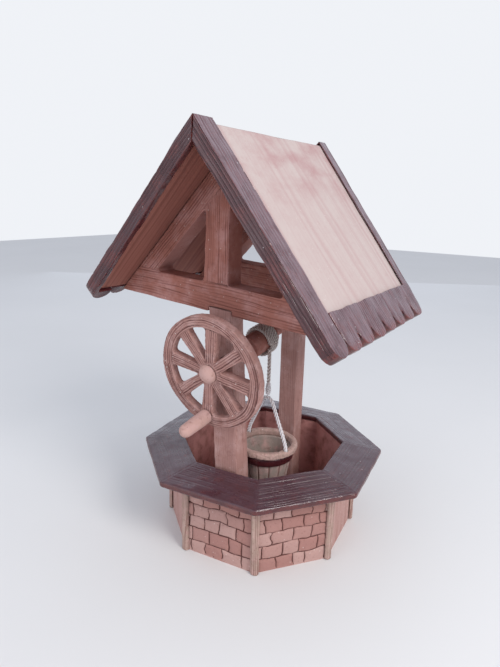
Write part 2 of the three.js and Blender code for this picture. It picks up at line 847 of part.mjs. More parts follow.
function kingPostGeometry(front) {
  const slope = Math.tan(roofSlope);
  const lean = Math.tan(kingPostLean);
  const foot = tieBeamTop + seam;
  const middle = rafterCrossing();
  const left = undersideHeight(0, slabUnderside - 2 * seam - leftRafterWidth);
  const right = undersideHeight(0, slabUnderside - 2 * seam - rightRafterWidth);
  const leftFoot = middle - kingPostWidth / 2;
  const rightFoot = middle + kingPostWidth / 2;
  const leftHead = (leftFoot + lean * (left - foot)) / (1 - lean * slope);
  const rightHead = (rightFoot + lean * (right - foot)) / (1 + lean * slope);
  return uprightPrism([
    point(leftFoot, foot),
    point(rightFoot, foot),
    point(rightHead, right - rightHead * slope),
    point(middle, left + middle * slope),
    point(leftHead, left + leftHead * slope),
  ], front, trussDepth);
}

function addTruss(roof, end, front, headX, headWidth) {
  const crossing = rafterCrossing();
  addPiece(roof, `${end}_tie_beam`, tieBeamGeometry(front, headX, headWidth), bareClay);
  addPiece(roof, `${end}_king_post`, kingPostGeometry(front), bareClay);
  addPiece(roof, `${end}_rafter_right`, rafterGeometry(front, rightRafterWidth, crossing), bareClay);
  addPiece(roof, `${end}_rafter_left`, mirrored(rafterGeometry(front, leftRafterWidth, -crossing)), bareClay);
}

function makeRoof() {
  const roof = new THREE.Group();
  roof.position.set(roofX, 0, postHeadHeight);
  roof.rotation.y = roofLeanAngle;
  const paired = {
    roof_slab: [ontoSlope(slabGeometry()), panelClay],
    front_verge: [ontoSlope(frontVergeGeometry()), roofGlaze],
    back_verge: [ontoSlope(backVergeGeometry()), roofGlaze],
    eave_band: [ontoSlope(eaveBandGeometry()), roofGlaze],
  };
  Object.entries(paired).forEach(([name, [geometry, material]]) => {
    addPiece(roof, `${name}_right`, geometry, material);
    addPiece(roof, `${name}_left`, mirrored(geometry), material);
  });
  const backTrussFront = backPostFace + backPostDepth - trussDepth;
  addTruss(roof, 'front', frontPostFace, frontPostHeadX, frontPostHeadWidth);
  addTruss(roof, 'back', backTrussFront, backPostX, backPostWidth);
  return roof;
}

const well = new THREE.Group();
well.add(makeTub());
makePosts(well);
well.add(makeWindlass());
makeHangingCord(well);
well.add(makeBucket());
well.add(makeRoof());

export default well;
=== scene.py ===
import json
from contextlib import contextmanager
from itertools import product
from math import atan2, cos, hypot, pi, radians, sin, tan

import bpy
import numpy as np
from mathutils import Matrix, Vector

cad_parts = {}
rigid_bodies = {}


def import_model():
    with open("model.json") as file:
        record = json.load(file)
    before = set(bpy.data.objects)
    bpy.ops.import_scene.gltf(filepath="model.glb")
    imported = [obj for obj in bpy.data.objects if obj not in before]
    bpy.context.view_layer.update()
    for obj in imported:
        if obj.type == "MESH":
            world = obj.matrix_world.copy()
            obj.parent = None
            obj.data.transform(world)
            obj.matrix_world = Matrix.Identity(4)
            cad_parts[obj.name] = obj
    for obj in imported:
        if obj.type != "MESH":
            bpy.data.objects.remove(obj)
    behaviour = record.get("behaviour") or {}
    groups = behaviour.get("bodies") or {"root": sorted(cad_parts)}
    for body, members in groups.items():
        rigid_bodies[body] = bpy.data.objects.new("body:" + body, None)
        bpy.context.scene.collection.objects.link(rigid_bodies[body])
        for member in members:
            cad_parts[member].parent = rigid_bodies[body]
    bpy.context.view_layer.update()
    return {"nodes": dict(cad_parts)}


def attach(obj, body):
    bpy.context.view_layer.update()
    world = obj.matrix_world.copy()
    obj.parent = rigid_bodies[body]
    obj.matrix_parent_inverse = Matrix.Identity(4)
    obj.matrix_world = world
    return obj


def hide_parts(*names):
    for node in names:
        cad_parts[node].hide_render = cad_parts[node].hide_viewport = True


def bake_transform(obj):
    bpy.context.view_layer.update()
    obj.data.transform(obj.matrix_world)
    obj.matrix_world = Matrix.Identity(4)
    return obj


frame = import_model()

bl_info = {
    "name": "Clay wishing well",
    "version": (1, 0, 0),
    "blender": (4, 5, 0),
    "location": "View3D > Sidebar > Well",
    "description": "Models the clay, glaze and cord of a wishing well planter around its frame",
    "category": "Object",
}

MM = 0.001

# The same places as in the frame's own solids
AXLE_TILT = radians(8)
AXLE = Matrix.Translation((5 * MM, -80 * MM, 241 * MM)) @ Matrix.Rotation(AXLE_TILT, 4, "X")
ROOF_TILT = radians(4)
ROOF_SHIFT = 3 * MM
ROOF = Matrix.Translation((-ROOF_SHIFT, 0, 299.5 * MM)) @ Matrix.Rotation(ROOF_TILT, 4, "Y")
NOTCH_GAP = 0.4 * MM
TUB_SIDES = 8
SIDE_ANGLE = 2 * pi / TUB_SIDES
TUB_TURN = radians(7)
BRICKED_SIDES = (0, 1, 4, 5)
FIRMLY_COMBED_PLANK = 1
WALL_FACE = 112 * MM
WALL_INSIDE = 99 * MM
WALL_HEIGHT = 96 * MM
RIM_EDGE = 145 * MM
WHEEL_RING = 52.25 * MM
WHEEL_HUB = 11 * MM
WHEEL_TURN = radians(-99)
SPOKE_ANGLE = pi / 4
ROOF_SLOPE = atan2(194.5, 165.5)
ROOF_APEX = 191 * MM
ROOF_FRONT = -142 * MM
ROOF_BACK = 116 * MM
RIDGE_LEAD = 11.7 * MM
BEAM_LOW = -5 * MM
BEAM_TOP = 26.5 * MM
KING_HALF = 15.75 * MM
KING_LEAN = tan(radians(-2.5))
RAFTER_WIDTHS = {1: 34 * MM, -1: 22 * MM}
RAFTER_TOP = 12.8 * MM
TRUSS_DEPTH = 27 * MM
FRONT_VERGE_WIDTH = 29 * MM
SLOPE_LENGTH = hypot(194.5, 165.5) * MM
LOBES = 7
LOBE_LENGTH = 15 * MM
BAND_WIDTH = 36 * MM
BUCKET = Vector((22.2, -25.5, 0)) * MM
STAVES = 14
STRANDS = 3

# The drum's radius, a gap and half the cord
WINDING_RADIUS = (14.5 + 0.3 + 2.4) * MM
WINDING_START = (-25.5 + 80) * MM / cos(AXLE_TILT)
WINDING_PITCH = 5.3 * MM
WINDING_TURNS = 3.6
DROP_ROUTE = [(22.2, -25.5, 243.5), (22.2, -25.5, 229), (22.2, -25.5, 215), (22.2, -25.5, 201.4)]
BAIL_TURN = radians(-17)
BAIL_ROUTE = [
    (-34.5, 121), (-34.5, 125), (-33.4, 130.5), (-30, 138), (-19.5, 157.2), (-12, 170.8),
    (-7.8, 178.1), (-4, 181.2), (0, 182), (4, 181.2), (7.8, 178.1),
    (12, 170.8), (19.5, 157.2), (30, 138), (33.4, 130.5), (34.5, 125), (34.5, 121),
]
HITCH_TOP = 201.1 * MM
HITCH_FOOT = 185.1 * MM
HITCH_TURNS = 5


def colour(name, description, red, green, blue):
    """A colour property from its 0 to 255 screen values."""
    values = [((value / 255 + 0.055) / 1.055) ** 2.4 for value in (red, green, blue)]
    return bpy.props.FloatVectorProperty(
        name=name, description=description, subtype="COLOR", size=3, min=0, max=1, default=values
    )


def length(name, description, millimetres):
    """A length property."""
    return bpy.props.FloatProperty(
        name=name, description=description, subtype="DISTANCE", unit="LENGTH", min=0, default=millimetres * MM
    )


class WellSizes(bpy.types.PropertyGroup):
    """Sizes of the well's surface work."""

    comb_spacing: length("Comb spacing", "Between the grooves of posts and trusses", 2.9)
    comb_depth: length("Comb depth", "Depth of the grooves of posts and trusses", 0.45)
    spoke_comb_spacing: length("Spoke comb spacing", "Between the grooves of the crank wheel", 2.5)
    spoke_comb_depth: length("Spoke comb depth", "Depth of the grooves of the crank wheel", 0.95)
    rim_comb_spacing: length("Rim comb spacing", "Between the grooves of the rim planks", 3.6)
    rim_comb_depth: length("Rim comb depth", "Depth of the grooves of the rim planks", 0.8)
    barge_groove_spacing: length("Barge groove spacing", "Between the grooves of the front verges", 3.4)
    barge_groove_depth: length("Barge groove depth", "Depth of the grooves of the front verges", 0.9)
    brick_course: length("Brick course", "Height of one course of scored bricks", 16.4)
    brick_length: length("Brick length", "Usual length of one scored brick", 22)
    joint_width: length("Joint width", "Width of the scored joints", 2.1)
    joint_depth: length("Joint depth", "Depth of the scored joints", 1.2)
    clay_waviness: length("Clay waviness", "How far a hand-pressed face swells and sinks", 0.45)
    cord_diameter: length("Cord diameter", "Thickness of the twisted cord", 4.8)
    cord_lay: length("Cord lay", "Length of one full turn of the strands", 13.5)


class WellColours(bpy.types.PropertyGroup):
    """Colours of the well's clays, glazes and cord."""

    clay: colour("Clay", "Trusses and drum", 156, 102, 90)
    clay_deep: colour("Deep clay", "Clouds and grooves of the trusses and drum", 112, 66, 58)
    clay_pale: colour("Pale clay", "Dusty places of the trusses and drum", 178, 132, 126)
    dusty: colour("Dusty clay", "Posts and wheel", 170, 129, 121)
    dusty_deep: colour("Deep dusty clay", "Clouds and grooves of the posts", 116, 72, 64)
    dusty_pale: colour("Pale dusty clay", "Lightest places of the posts and wheel", 192, 156, 150)
    wheel_deep: colour("Wheel grooves", "Grooves of the crank wheel", 88, 50, 46)
    smooth_clay: colour("Smooth clay", "Hub cap and handle", 186, 150, 141)
    panel: colour("Panel", "Roof panels", 190, 174, 169)
    panel_blush: colour("Panel blush", "Pink clouds on the roof panels", 170, 128, 128)
    brick: colour("Brick", "Scored bricks", 166, 122, 114)
    brick_pale: colour("Pale brick", "Lighter bricks", 192, 158, 150)
    joint: colour("Joint", "Scored joints", 82, 46, 42)
    strip: colour("Strip", "Strips over the tub's corners", 176, 150, 138)
    # Painted light: the inside's clay is paler than its own tone, so that the shade inside the tub renders
    # lighter.
    inside: colour("Inside", "Inside of the tub", 198, 142, 136)
    glaze: colour("Glaze", "Thick, dark glaze", 64, 24, 30)
    glaze_thin: colour("Thin glaze", "Reddish edges and streaks", 122, 50, 42)
    # The two sheen colours are painted reflections: the sky's greyish sheen, painted on the glaze where it
    # faces up.
    roof_painted_sheen: colour("Roof painted sheen", "Greyish tops of the roof's glaze", 118, 92, 98)
    rim_painted_sheen: colour("Rim painted sheen", "Greyish tops of the rim's glaze", 80, 56, 64)
    stave: colour("Stave", "Bucket staves", 156, 142, 134)
    collar: colour("Collar", "Bucket collar", 170, 142, 132)
    cord: colour("Cord", "Bail and hitch", 232, 230, 232)
    cord_worn: colour("Worn cord", "Drop and wound turns", 216, 206, 200)


def deselect():
    if bpy.context.mode != "OBJECT":
        bpy.ops.object.mode_set(mode="OBJECT")
    bpy.ops.object.select_all(action="DESELECT")


def activate(*pieces):
    deselect()
    for piece in pieces:
        piece.select_set(True)
    bpy.context.view_layer.objects.active = pieces[0]


@contextmanager
def editing(piece, action="SELECT"):
    """Edit mode on one piece, with all of it selected unless told otherwise."""
    activate(piece)
    bpy.ops.object.mode_set(mode="EDIT")
    if action:
        bpy.ops.mesh.select_all(action=action)
    yield
    bpy.ops.object.mode_set(mode="OBJECT")


def settle(piece, place=None):
    """Moves the piece to its place and puts that place into its mesh."""
    activate(piece)
    if place is not None:
        piece.matrix_world = place @ piece.matrix_world
    bpy.ops.object.transform_apply(location=True, rotation=True, scale=True)


def modify(piece, kind, **settings):
    activate(piece)
    modifier = piece.modifiers.new(kind.title(), kind)
    for name, value in settings.items():
        setattr(modifier, name, value)
    bpy.ops.object.modifier_apply(modifier=modifier.name)


def duplicated(name, *pieces):
    """A merged copy of some pieces."""
    activate(*pieces)
    bpy.ops.object.duplicate()
    if len(pieces) > 1:
        bpy.ops.object.join()
    piece = bpy.context.active_object
    piece.name = name
    piece.data.name = name
    return piece


def copied(name, *nodes):
    """A merged copy of the frame's solids, to be worked on as clay."""
    piece = duplicated(name, *[frame["nodes"][node] for node in nodes])
    bpy.ops.object.parent_clear(type="CLEAR_KEEP_TRANSFORM")
    settle(piece)
    if piece.data.has_custom_normals:
        bpy.ops.mesh.customdata_custom_splitnormals_clear()
    piece.data.materials.clear()
    with editing(piece):
        bpy.ops.mesh.remove_doubles(threshold=1e-6)
    return piece


def knead(piece, grain, softness, place=None):
    """Turns the piece into an even skin of small faces with soft edges, lined up with its own place."""
    if place is not None:
        settle(piece, place.inverted())
    modify(piece, "REMESH", mode="VOXEL", voxel_size=grain, adaptivity=0)
    modify(piece, "SMOOTH", factor=0.5, iterations=softness)
    activate(piece)
    bpy.ops.object.shade_smooth()
    return piece


def points_of(piece, kind):
    rows = np.empty(len(piece.data.vertices) * 3)
    piece.data.vertices.foreach_get(kind, rows)
    return rows.reshape(-1, 3)


def places_of(piece):
    return points_of(piece, "co")


def normals_of(piece):
    return points_of(piece, "normal")


def move(piece, places):
    """Puts each point at its new place."""
    piece.data.vertices.foreach_set("co", places.ravel())
    piece.data.update()


def sink(piece, depths):
    """Presses each point into the piece by its own depth."""
    move(piece, places_of(piece) - normals_of(piece) * depths[:, None])


def mark(piece, **kept):
    """Keeps numbers at each point, which the finish reads."""
    for name, values in kept.items():
        attribute = piece.data.attributes.new(name, "FLOAT", "POINT")
        attribute.data.foreach_set("value", np.asarray(values, np.float32))


def dice(seed, x, y=0, z=0):
    """A fixed random number from -1 to 1 for each whole-numbered place."""
    mixed = (x * 374761393 + y * 668265263 + z * 982451653 + seed * 1274126177) & 0xFFFFFFFF
    mixed = ((mixed ^ (mixed >> 13)) * 1103515245) & 0xFFFFFFFF
    mixed = ((mixed ^ (mixed >> 15)) * 12345701) & 0xFFFFFFFF
    return ((mixed ^ (mixed >> 16)) & 0xFFFF) / 32767.5 - 1


def swell(places, size, seed):
    """Smooth random swelling from -1 to 1, with bumps of that size."""
    cells = places / size
    low = np.floor(cells).astype(np.int64)
    part = cells - low
    part = part * part * (3 - 2 * part)
    total = np.zeros(len(places))
    for corner in product((0, 1), repeat=3):
        weight = np.prod(np.where(corner, part, 1 - part), axis=1)
        total += weight * dice(seed, *(low + corner).T)
    return total


def swell_flat(u, v, seed):
    """Swelling over a flat place given as two numbers, with bumps of size 1."""
    return swell(np.column_stack([u, v, np.zeros(len(u))]), 1, seed)


def step(low, high, values):
    """0 below low, 1 above high, and a smooth rise between."""
    share = np.clip((values - low) / (high - low), 0, 1)
    return share * share * (3 - 2 * share)


def comb(along, across, spacing, seed):
    """Grooves that run along a face: their phase across it, and how firmly each is pressed."""
    slow = swell_flat(along / (34 * spacing), across / (9 * spacing), seed)
    quick = swell_flat(along / (7 * spacing), across / (2.5 * spacing), seed + 1)
    phase = (across + spacing * (1.1 * slow + 0.22 * quick)) / spacing
    pressed = 0.6 + 0.75 * swell_flat(along / (12 * spacing), np.round(phase) * 3.7, seed + 2)
    return phase, np.clip(pressed, 0.05, 1)


def groove(phase, pressed, sharpness=2.0):
    return pressed * (0.5 + 0.5 * np.cos(2 * pi * phase)) ** sharpness


def rounded(*leanings):
    """How far each normal leans away from all of the faces' directions: 1 on a rounded edge."""
    return step(0.06, 0.26, 1 - np.abs(leanings).max(axis=0))


def comb_piece(piece, phase, pressed, depth, waviness, seed, where=1.0):
    """Presses the comb's grooves and the hand's unevenness into a piece."""
    places = places_of(piece)
    pressed = pressed * where
    uneven = swell(places, 22 * MM, seed) * waviness + swell(places, 7 * MM, seed + 3) * waviness * 0.3
    sink(piece, groove(phase, pressed) * depth - uneven * 0.5 + 0.25 * waviness)
    mark(piece, phase=phase, pressed=pressed)


class Finish:
    """A material in the making: its calls add nodes and give their output, or lay a tint over the shade."""

    def __init__(self, name, shade, roughness, specular):
        self.material = bpy.data.materials.new(name)
        self.material.use_nodes = True
        self.tree = self.material.node_tree
        self.shader = self.tree.nodes["Principled BSDF"]
        self.shader.inputs["Roughness"].default_value = roughness
        self.shader.inputs["Specular IOR Level"].default_value = specular
        self.place = self.tree.nodes.new("ShaderNodeTexCoord").outputs["Object"]
        self.shade = shade

    def put(self, socket, value):
        if isinstance(value, bpy.types.NodeSocket):
            self.tree.links.new(value, socket)
        elif hasattr(value, "__len__") and len(value) == 3 and socket.type == "RGBA":
            socket.default_value = (*value, 1)
        else:
            socket.default_value = value

    def add(self, kind, **inputs):
        """A node with its named inputs."""
        node = self.tree.nodes.new(f"ShaderNode{kind}")
        for name, value in inputs.items():
            self.put(node.inputs[name.replace("_", " ")], value)
        return node

    def noise(self, size, detail=3, roughness=0.55, stretch=None):
        vector = self.place
        if stretch:
            vector = self.add("Mapping", Vector=vector, Scale=stretch).outputs["Vector"]
        node = self.add("TexNoise", Vector=vector, Scale=1 / size, Detail=detail, Roughness=roughness)
        return node.outputs["Fac"]

    def lines(self, count, along="phase"):
        """Irregular lines across a kept number, so many to each unit of it."""
        node = self.tree.nodes.new("ShaderNodeTexNoise")
        node.noise_dimensions = "1D"
        self.put(node.inputs["W"], self.kept(along))
        node.inputs["Scale"].default_value = count
        node.inputs["Detail"].default_value = 2
        return node.outputs["Fac"]

    def maths(self, operation, first, second=0.0):
        node = self.tree.nodes.new("ShaderNodeMath")
        node.operation = operation
        self.put(node.inputs[0], first)
        self.put(node.inputs[1], second)
        return node.outputs[0]

    def times(self, first, second):
        return self.maths("MULTIPLY", first, second)

    def plus(self, first, second):
        return self.maths("ADD", first, second)

    def between(self, value, low, high, to_low=0.0, to_high=1.0):
        ends = {"From Min": low, "From Max": high, "To Min": to_low, "To Max": to_high}
        node = self.add("MapRange", Value=value, **ends)
        node.interpolation_type = "SMOOTHSTEP"
        return node.outputs["Result"]

    def mix(self, share, first, second):
        node = self.tree.nodes.new("ShaderNodeMix")
        node.data_type = "RGBA"
        self.put(node.inputs["Factor"], share)
        self.put(node.inputs[6], first)
        self.put(node.inputs[7], second)
        return node.outputs[2]

    def over(self, share, tint):
        """Lays a share of a tint over the shade."""
        self.shade = self.mix(share, self.shade, tint)
        self.put(self.shader.inputs["Base Color"], self.shade)

    def clouds(self, tint, size, detail, roughness, low, high, share=1.0):
        """Clouds of a tint, where noise of that size rises from low to high."""
        self.over(self.between(self.noise(size, detail, roughness), low, high, 0, share), tint)

    def specks(self, tint, size, inner, outer, share):
        """Round specks of a tint about so far apart, with their inner and outer radius in units of that."""
        spots = self.add("TexVoronoi", Vector=self.place, Scale=1 / size).outputs["Distance"]
        self.over(self.between(spots, inner, outer, share, 0), tint)

    def kept(self, name):
        node = self.tree.nodes.new("ShaderNodeAttribute")
        node.attribute_name = name
        return node.outputs["Fac"]

    def grooves(self):
        """The comb's grooves, from the phase and pressure kept on the piece."""
        turn = self.maths("COSINE", self.times(self.kept("phase"), 2 * pi))
        line = self.plus(self.times(turn, 0.5), 0.5)
        return self.times(self.maths("POWER", line, 3.0), self.kept("pressed"))

    def relief(self, height, distance):
        node = self.add("Bump", Distance=distance, Height=height)
        self.put(self.shader.inputs["Normal"], node.outputs["Normal"])


def clay_finish(name, base, deep, pale, combed=True, cloud=28 * MM, grit=0.35, scored=0.7):
    """Dry clay: clouds of two tones, dust on the edges, dark grooves and pores, and pale grit."""
    made = Finish(name, base, 0.88, 0.25)
    made.clouds(pale, cloud, 5, 0.6, 0.42, 0.72)
    made.clouds(deep, cloud * 0.45, 4, 0.6, 0.52, 0.78, 0.45)
    height = made.times(made.noise(1.1 * MM, 3, 0.7), 0.4)
    if combed:
        # The grooves and fine comb lines darken: partly a dark stain in them, partly painted shade that
        # deepens their shadow.
        fine = made.lines(3.4)
        made.over(made.times(made.between(fine, 0.42, 0.72, 0, scored * 0.85), made.kept("pressed")), deep)
        made.over(made.times(made.grooves(), scored), deep)
        lines = made.plus(made.times(made.grooves(), -1.0), made.times(fine, -0.5))
        height = made.plus(height, lines)
    made.over(made.times(made.kept("edge"), 0.45), pale)
    made.specks(deep, 5 * MM, 0.08, 0.16, 0.55)
    made.specks((0.75, 0.68, 0.64), 9 * MM, 0.05, 0.1, grit)
    made.relief(height, 0.35 * MM)


def glaze_finish(name, deep, thin, painted_sheen, roughness):
    """Dark glaze: a greyish sheen painted where it looks up, a painted reflection of the sky; reddish and
    thin on edges, streaked along its lines.
    """
    made = Finish(name, deep, roughness, 0.5)
    clouds = made.noise(20 * MM, 5, 0.65)
    fine = made.lines(2.4)
    made.over(made.between(clouds, 0.45, 0.7, 0, 0.4), thin)
    # Painted sheen: a reflection of the sky, painted in a greyish tint on faces that look up.
    made.over(made.times(made.kept("upward"), made.between(clouds, 0.3, 0.6, 0.45, 1)), painted_sheen)
    made.over(made.between(fine, 0.42, 0.75, 0, 0.5), deep)
    warm = made.between(made.noise(13 * MM, 4), 0.5, 0.7)
    made.over(made.times(warm, made.between(fine, 0.5, 0.7, 0.1, 0.5)), thin)
    made.over(made.times(made.grooves(), 0.75), deep)
    made.over(made.times(made.kept("edge"), made.between(made.noise(7 * MM), 0.35, 0.6, 0.2, 0.8)), thin)
    made.specks(thin, 5 * MM, 0.06, 0.14, 0.45)
    made.specks((0.7, 0.66, 0.66), 12 * MM, 0.03, 0.07, 0.6)
    rough = made.between(made.noise(15 * MM, 4), 0.3, 0.75, roughness * 0.7, roughness * 1.7)
    made.put(made.shader.inputs["Roughness"], rough)
    made.shader.inputs["Coat Weight"].default_value = 0.4
    made.shader.inputs["Coat Roughness"].default_value = 0.12
    height = made.plus(made.times(made.grooves(), -1.0), made.times(fine, -0.6))
    made.relief(made.plus(height, made.times(made.noise(2.5 * MM), 0.5)), 0.35 * MM)


def brick_finish(name, colours):
    """Scored bricks, each with its own tone, and stained joints."""
    made = Finish(name, colours.brick, 0.88, 0.25)
    made.over(made.between(made.kept("tone"), 0.1, 0.9, 0, 0.7), colours.brick_pale)
    made.clouds(colours.dusty, 11 * MM, 5, 0.65, 0.5, 0.75, 0.45)
    made.clouds(colours.clay_deep, 3 * MM, 3, 0.6, 0.55, 0.75, 0.3)
    joint = made.between(made.kept("to_joint"), 0.25, 0.75, 1, 0)
    made.over(made.times(joint, 0.95), colours.joint)
    made.specks((0.75, 0.68, 0.62), 7 * MM, 0.05, 0.12, 0.5)
    # Inside the tub: the pale inside clay, painted light that lifts its shade, clouded with deep clay.
    stain = made.between(made.noise(14 * MM, 4), 0.4, 0.8, 0, 0.65)
    made.over(made.kept("inner"), made.mix(stain, colours.inside, colours.clay_deep))
    grain = made.plus(made.noise(1.3 * MM, 3, 0.7), made.times(made.noise(5 * MM), 1.2))
    made.relief(made.plus(grain, made.times(joint, -1.5)), 0.3 * MM)


def panel_finish(name, colours):
    """Pale roof panel with pink clouds near the ridge, and bare clay underneath."""
    made = Finish(name, colours.panel, 0.82, 0.3)
    clouds = made.noise(30 * MM, 5, 0.6, stretch=(1, 0.5, 1))
    blush = made.times(made.between(clouds, 0.35, 0.75, 0, 0.8), made.kept("blush"))
    made.over(blush, colours.panel_blush)
    made.over(made.between(made.lines(0.8), 0.42, 0.7, 0, 0.32), colours.panel_blush)
    scuffs = made.between(made.noise(5 * MM, 4, 0.7), 0.62, 0.8, 0, 0.4)
    made.over(made.times(scuffs, made.kept("blush")), colours.clay)
    made.clouds(colours.panel_blush, 6 * MM, 4, 0.7, 0.5, 0.8, 0.25)
    made.specks((0.8, 0.76, 0.74), 6 * MM, 0.04, 0.09, 0.5)
    streaks = made.between(made.lines(1.4), 0.35, 0.7, 0, 0.6)
    made.over(made.kept("under"), made.mix(streaks, colours.clay, colours.clay_deep))
    made.relief(made.plus(made.noise(1.2 * MM, 3, 0.7), made.noise(7 * MM)), 0.22 * MM)


def cord_finish(name, base, shadow):
    """Twisted cord: shadow between the strands and fine fibres along them."""
    made = Finish(name, base, 0.9, 0.2)
    fibres = made.lines(9.0, "fibre")
    made.over(made.between(made.kept("hollow"), 0.18, 0.5, 0, 0.5), shadow)
    made.over(made.between(fibres, 0.45, 0.75, 0, 0.25), shadow)
    made.shader.inputs["Sheen Weight"].default_value = 0.3
    made.relief(fibres, 0.25 * MM)


def dress(piece, finish, body, slot, *nodes):
    """Gives a finished piece its finish and body, and hides the solids it stands for."""
    piece.data.materials.clear()
    piece.data.materials.append(bpy.data.materials[finish])
    if body is not None:
        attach(piece, body)
    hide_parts(*nodes)
    return piece


def smooth_path(points, spacing):
    """Points at an even spacing on a smooth curve through the chosen ones."""
    points = [Vector(p) for p in points]
    rows = [points[0] * 2 - points[1], *points, points[-1] * 2 - points[-2]]
    fine = []
    for before, start, end, after in zip(rows, rows[1:], rows[2:], rows[3:]):
        for i in range(20):
            t = i / 20
            straight = (end - before) * 0.5 * t
            bend = (before * 2 - start * 5 + end * 4 - after) * 0.5 * t * t
            bow = ((start - end) * 3 + after - before) * 0.5 * t * t * t
            fine.append(start + straight + bend + bow)
    fine.append(points[-1])
    run = np.concatenate([[0], np.cumsum([(b - a).length for a, b in zip(fine, fine[1:])])])
    even = np.linspace(0, run[-1], max(2, round(run[-1] / spacing) + 1))
    return [Vector(p) for p in zip(*[np.interp(even, run, [q[k] for q in fine]) for k in range(3)])]


def mesh_piece(name, vertices, edges, faces):
    mesh = bpy.data.meshes.new(name)
    mesh.from_pydata(vertices, edges, faces)
    piece = bpy.data.objects.new(name, mesh)
    bpy.context.collection.objects.link(piece)
    activate(piece)
    return piece


def cord_mesh(name, path, radius, lay, around=30):
    """A cord of twisted strands along a path: one closed skin with a valley between strands."""
    strand = radius * 0.464
    offset = radius - strand
    side = (path[1] - path[0]).normalized().orthogonal().normalized()
    vertices, hollows, fibres, run = [], [], [], 0.0
    for i, centre in enumerate(path):
        behind = path[max(i - 1, 0)]
        tangent = (path[min(i + 1, len(path) - 1)] - behind).normalized()
        side = (side - tangent * side.dot(tangent)).normalized()
        up = tangent.cross(side)
        run += (centre - behind).length
        for j in range(around):
            angle = 2 * pi * j / around
            turn = (angle * STRANDS / (2 * pi) + 0.5) % 1 - 0.5
            bend = turn * 2 * pi / STRANDS
            reach = offset * cos(bend) + max(strand ** 2 - (offset * sin(bend)) ** 2, 0) ** 0.5
            heading = angle + 2 * pi * run / lay
            vertices.append(centre + side * reach * cos(heading) + up * reach * sin(heading))
            hollows.append(1 - reach / radius)
            fibres.append(turn * 4 + j * STRANDS // around + 0.12 * run / radius)
    last = len(path) - 1
    faces = []
    for i in range(last):
        for j in range(around):
            k = (j + 1) % around
            faces.append((i * around + j, i * around + k, (i + 1) * around + k, (i + 1) * around + j))
    for ring, order in ((0, -1), (last, 1)):
        centre = len(vertices)
        vertices.append(path[ring])
        hollows.append(0.5)
        fibres.append(0)
        for j in range(around):
            faces.append((ring * around + j, ring * around + (j + 1) % around, centre)[::order])
    piece = mesh_piece(name, vertices, [], faces)
    mark(piece, hollow=hollows, fibre=fibres)
    bpy.ops.object.shade_smooth()
    return piece


def turned(name, profile, steps, place):
    """A piece spun about its own Z from a profile of radii and heights."""
    edges = [(i, i + 1) for i in range(len(profile) - 1)]
    piece = mesh_piece(name, [(radius, 0, height) for radius, height in profile], edges, [])
    with editing(piece):
        bpy.ops.mesh.spin(steps=steps, angle=2 * pi, center=(0, 0, 0), axis=(0, 0, 1))
        bpy.ops.mesh.select_all(action="SELECT")
        bpy.ops.mesh.remove_doubles(threshold=1e-6)
        bpy.ops.mesh.normals_make_consistent(inside=False)
    settle(piece, place)
    return piece


def plate(name, corners, front, back):
    """An upright plate from its outline in X and Z, carried from front to back."""
    deselect()
    bpy.ops.mesh.primitive_circle_add(vertices=len(corners), fill_type="NGON")
    piece = bpy.context.active_object
    piece.name = name
    piece.data.name = name
    for vertex, (x, z) in zip(piece.data.vertices, corners):
        vertex.co = (x, front, z)
    with editing(piece):
        bpy.ops.mesh.extrude_region_move(TRANSFORM_OT_translate={"value": (0, back - front, 0)})
        bpy.ops.mesh.select_all(action="SELECT")
        bpy.ops.mesh.normals_make_consistent(inside=False)
    return piece


def divide(piece, cuts, outward, distance):
    """Subdivides the edges that lie in the face at a distance outwards."""
    mesh = piece.data
    out = places_of(piece) @ outward
    ends = np.empty(len(mesh.edges) * 2, int)
    mesh.edges.foreach_get("vertices", ends)
    first, second = out[ends[::2]], out[ends[1::2]]
    near = 0.1 * MM
    picked = (np.abs((first + second) / 2 - distance) < near) & (np.abs(second - first) < near)
    with editing(piece, "DESELECT"):
        bpy.ops.mesh.select_mode(type="EDGE")
    mesh.edges.foreach_set("select", picked)
    with editing(piece, None):
        bpy.ops.mesh.subdivide(number_cuts=cuts)


def side_directions(k):
    """Outwards and sideways from the tub's side k; halves between sides are its corners."""
    facing = -pi / 2 + k * SIDE_ANGLE + TUB_TURN
    return np.array([cos(facing), sin(facing), 0]), np.array([-sin(facing), cos(facing), 0])


def sky(scene):
    """Soft bluish light all round, seen as a pale backdrop by the camera alone."""
    world = bpy.data.worlds.new("studio")
    world.use_nodes = True
    scene.world = world
    tree = world.node_tree
    light = tree.nodes["Background"]
    light.inputs["Color"].default_value = (0.84, 0.89, 1, 1)
    light.inputs["Strength"].default_value = 0.8
    seen = tree.nodes.new("ShaderNodeBackground")
    seen.inputs["Color"].default_value = (0.87, 0.89, 0.93, 1)
    path = tree.nodes.new("ShaderNodeLightPath")
    mixed = tree.nodes.new("ShaderNodeMixShader")
    tree.links.new(path.outputs["Is Camera Ray"], mixed.inputs["Fac"])
    tree.links.new(light.outputs[0], mixed.inputs[1])
    tree.links.new(seen.outputs[0], mixed.inputs[2])
    tree.links.new(mixed.outputs[0], tree.nodes["World Output"].inputs["Surface"])


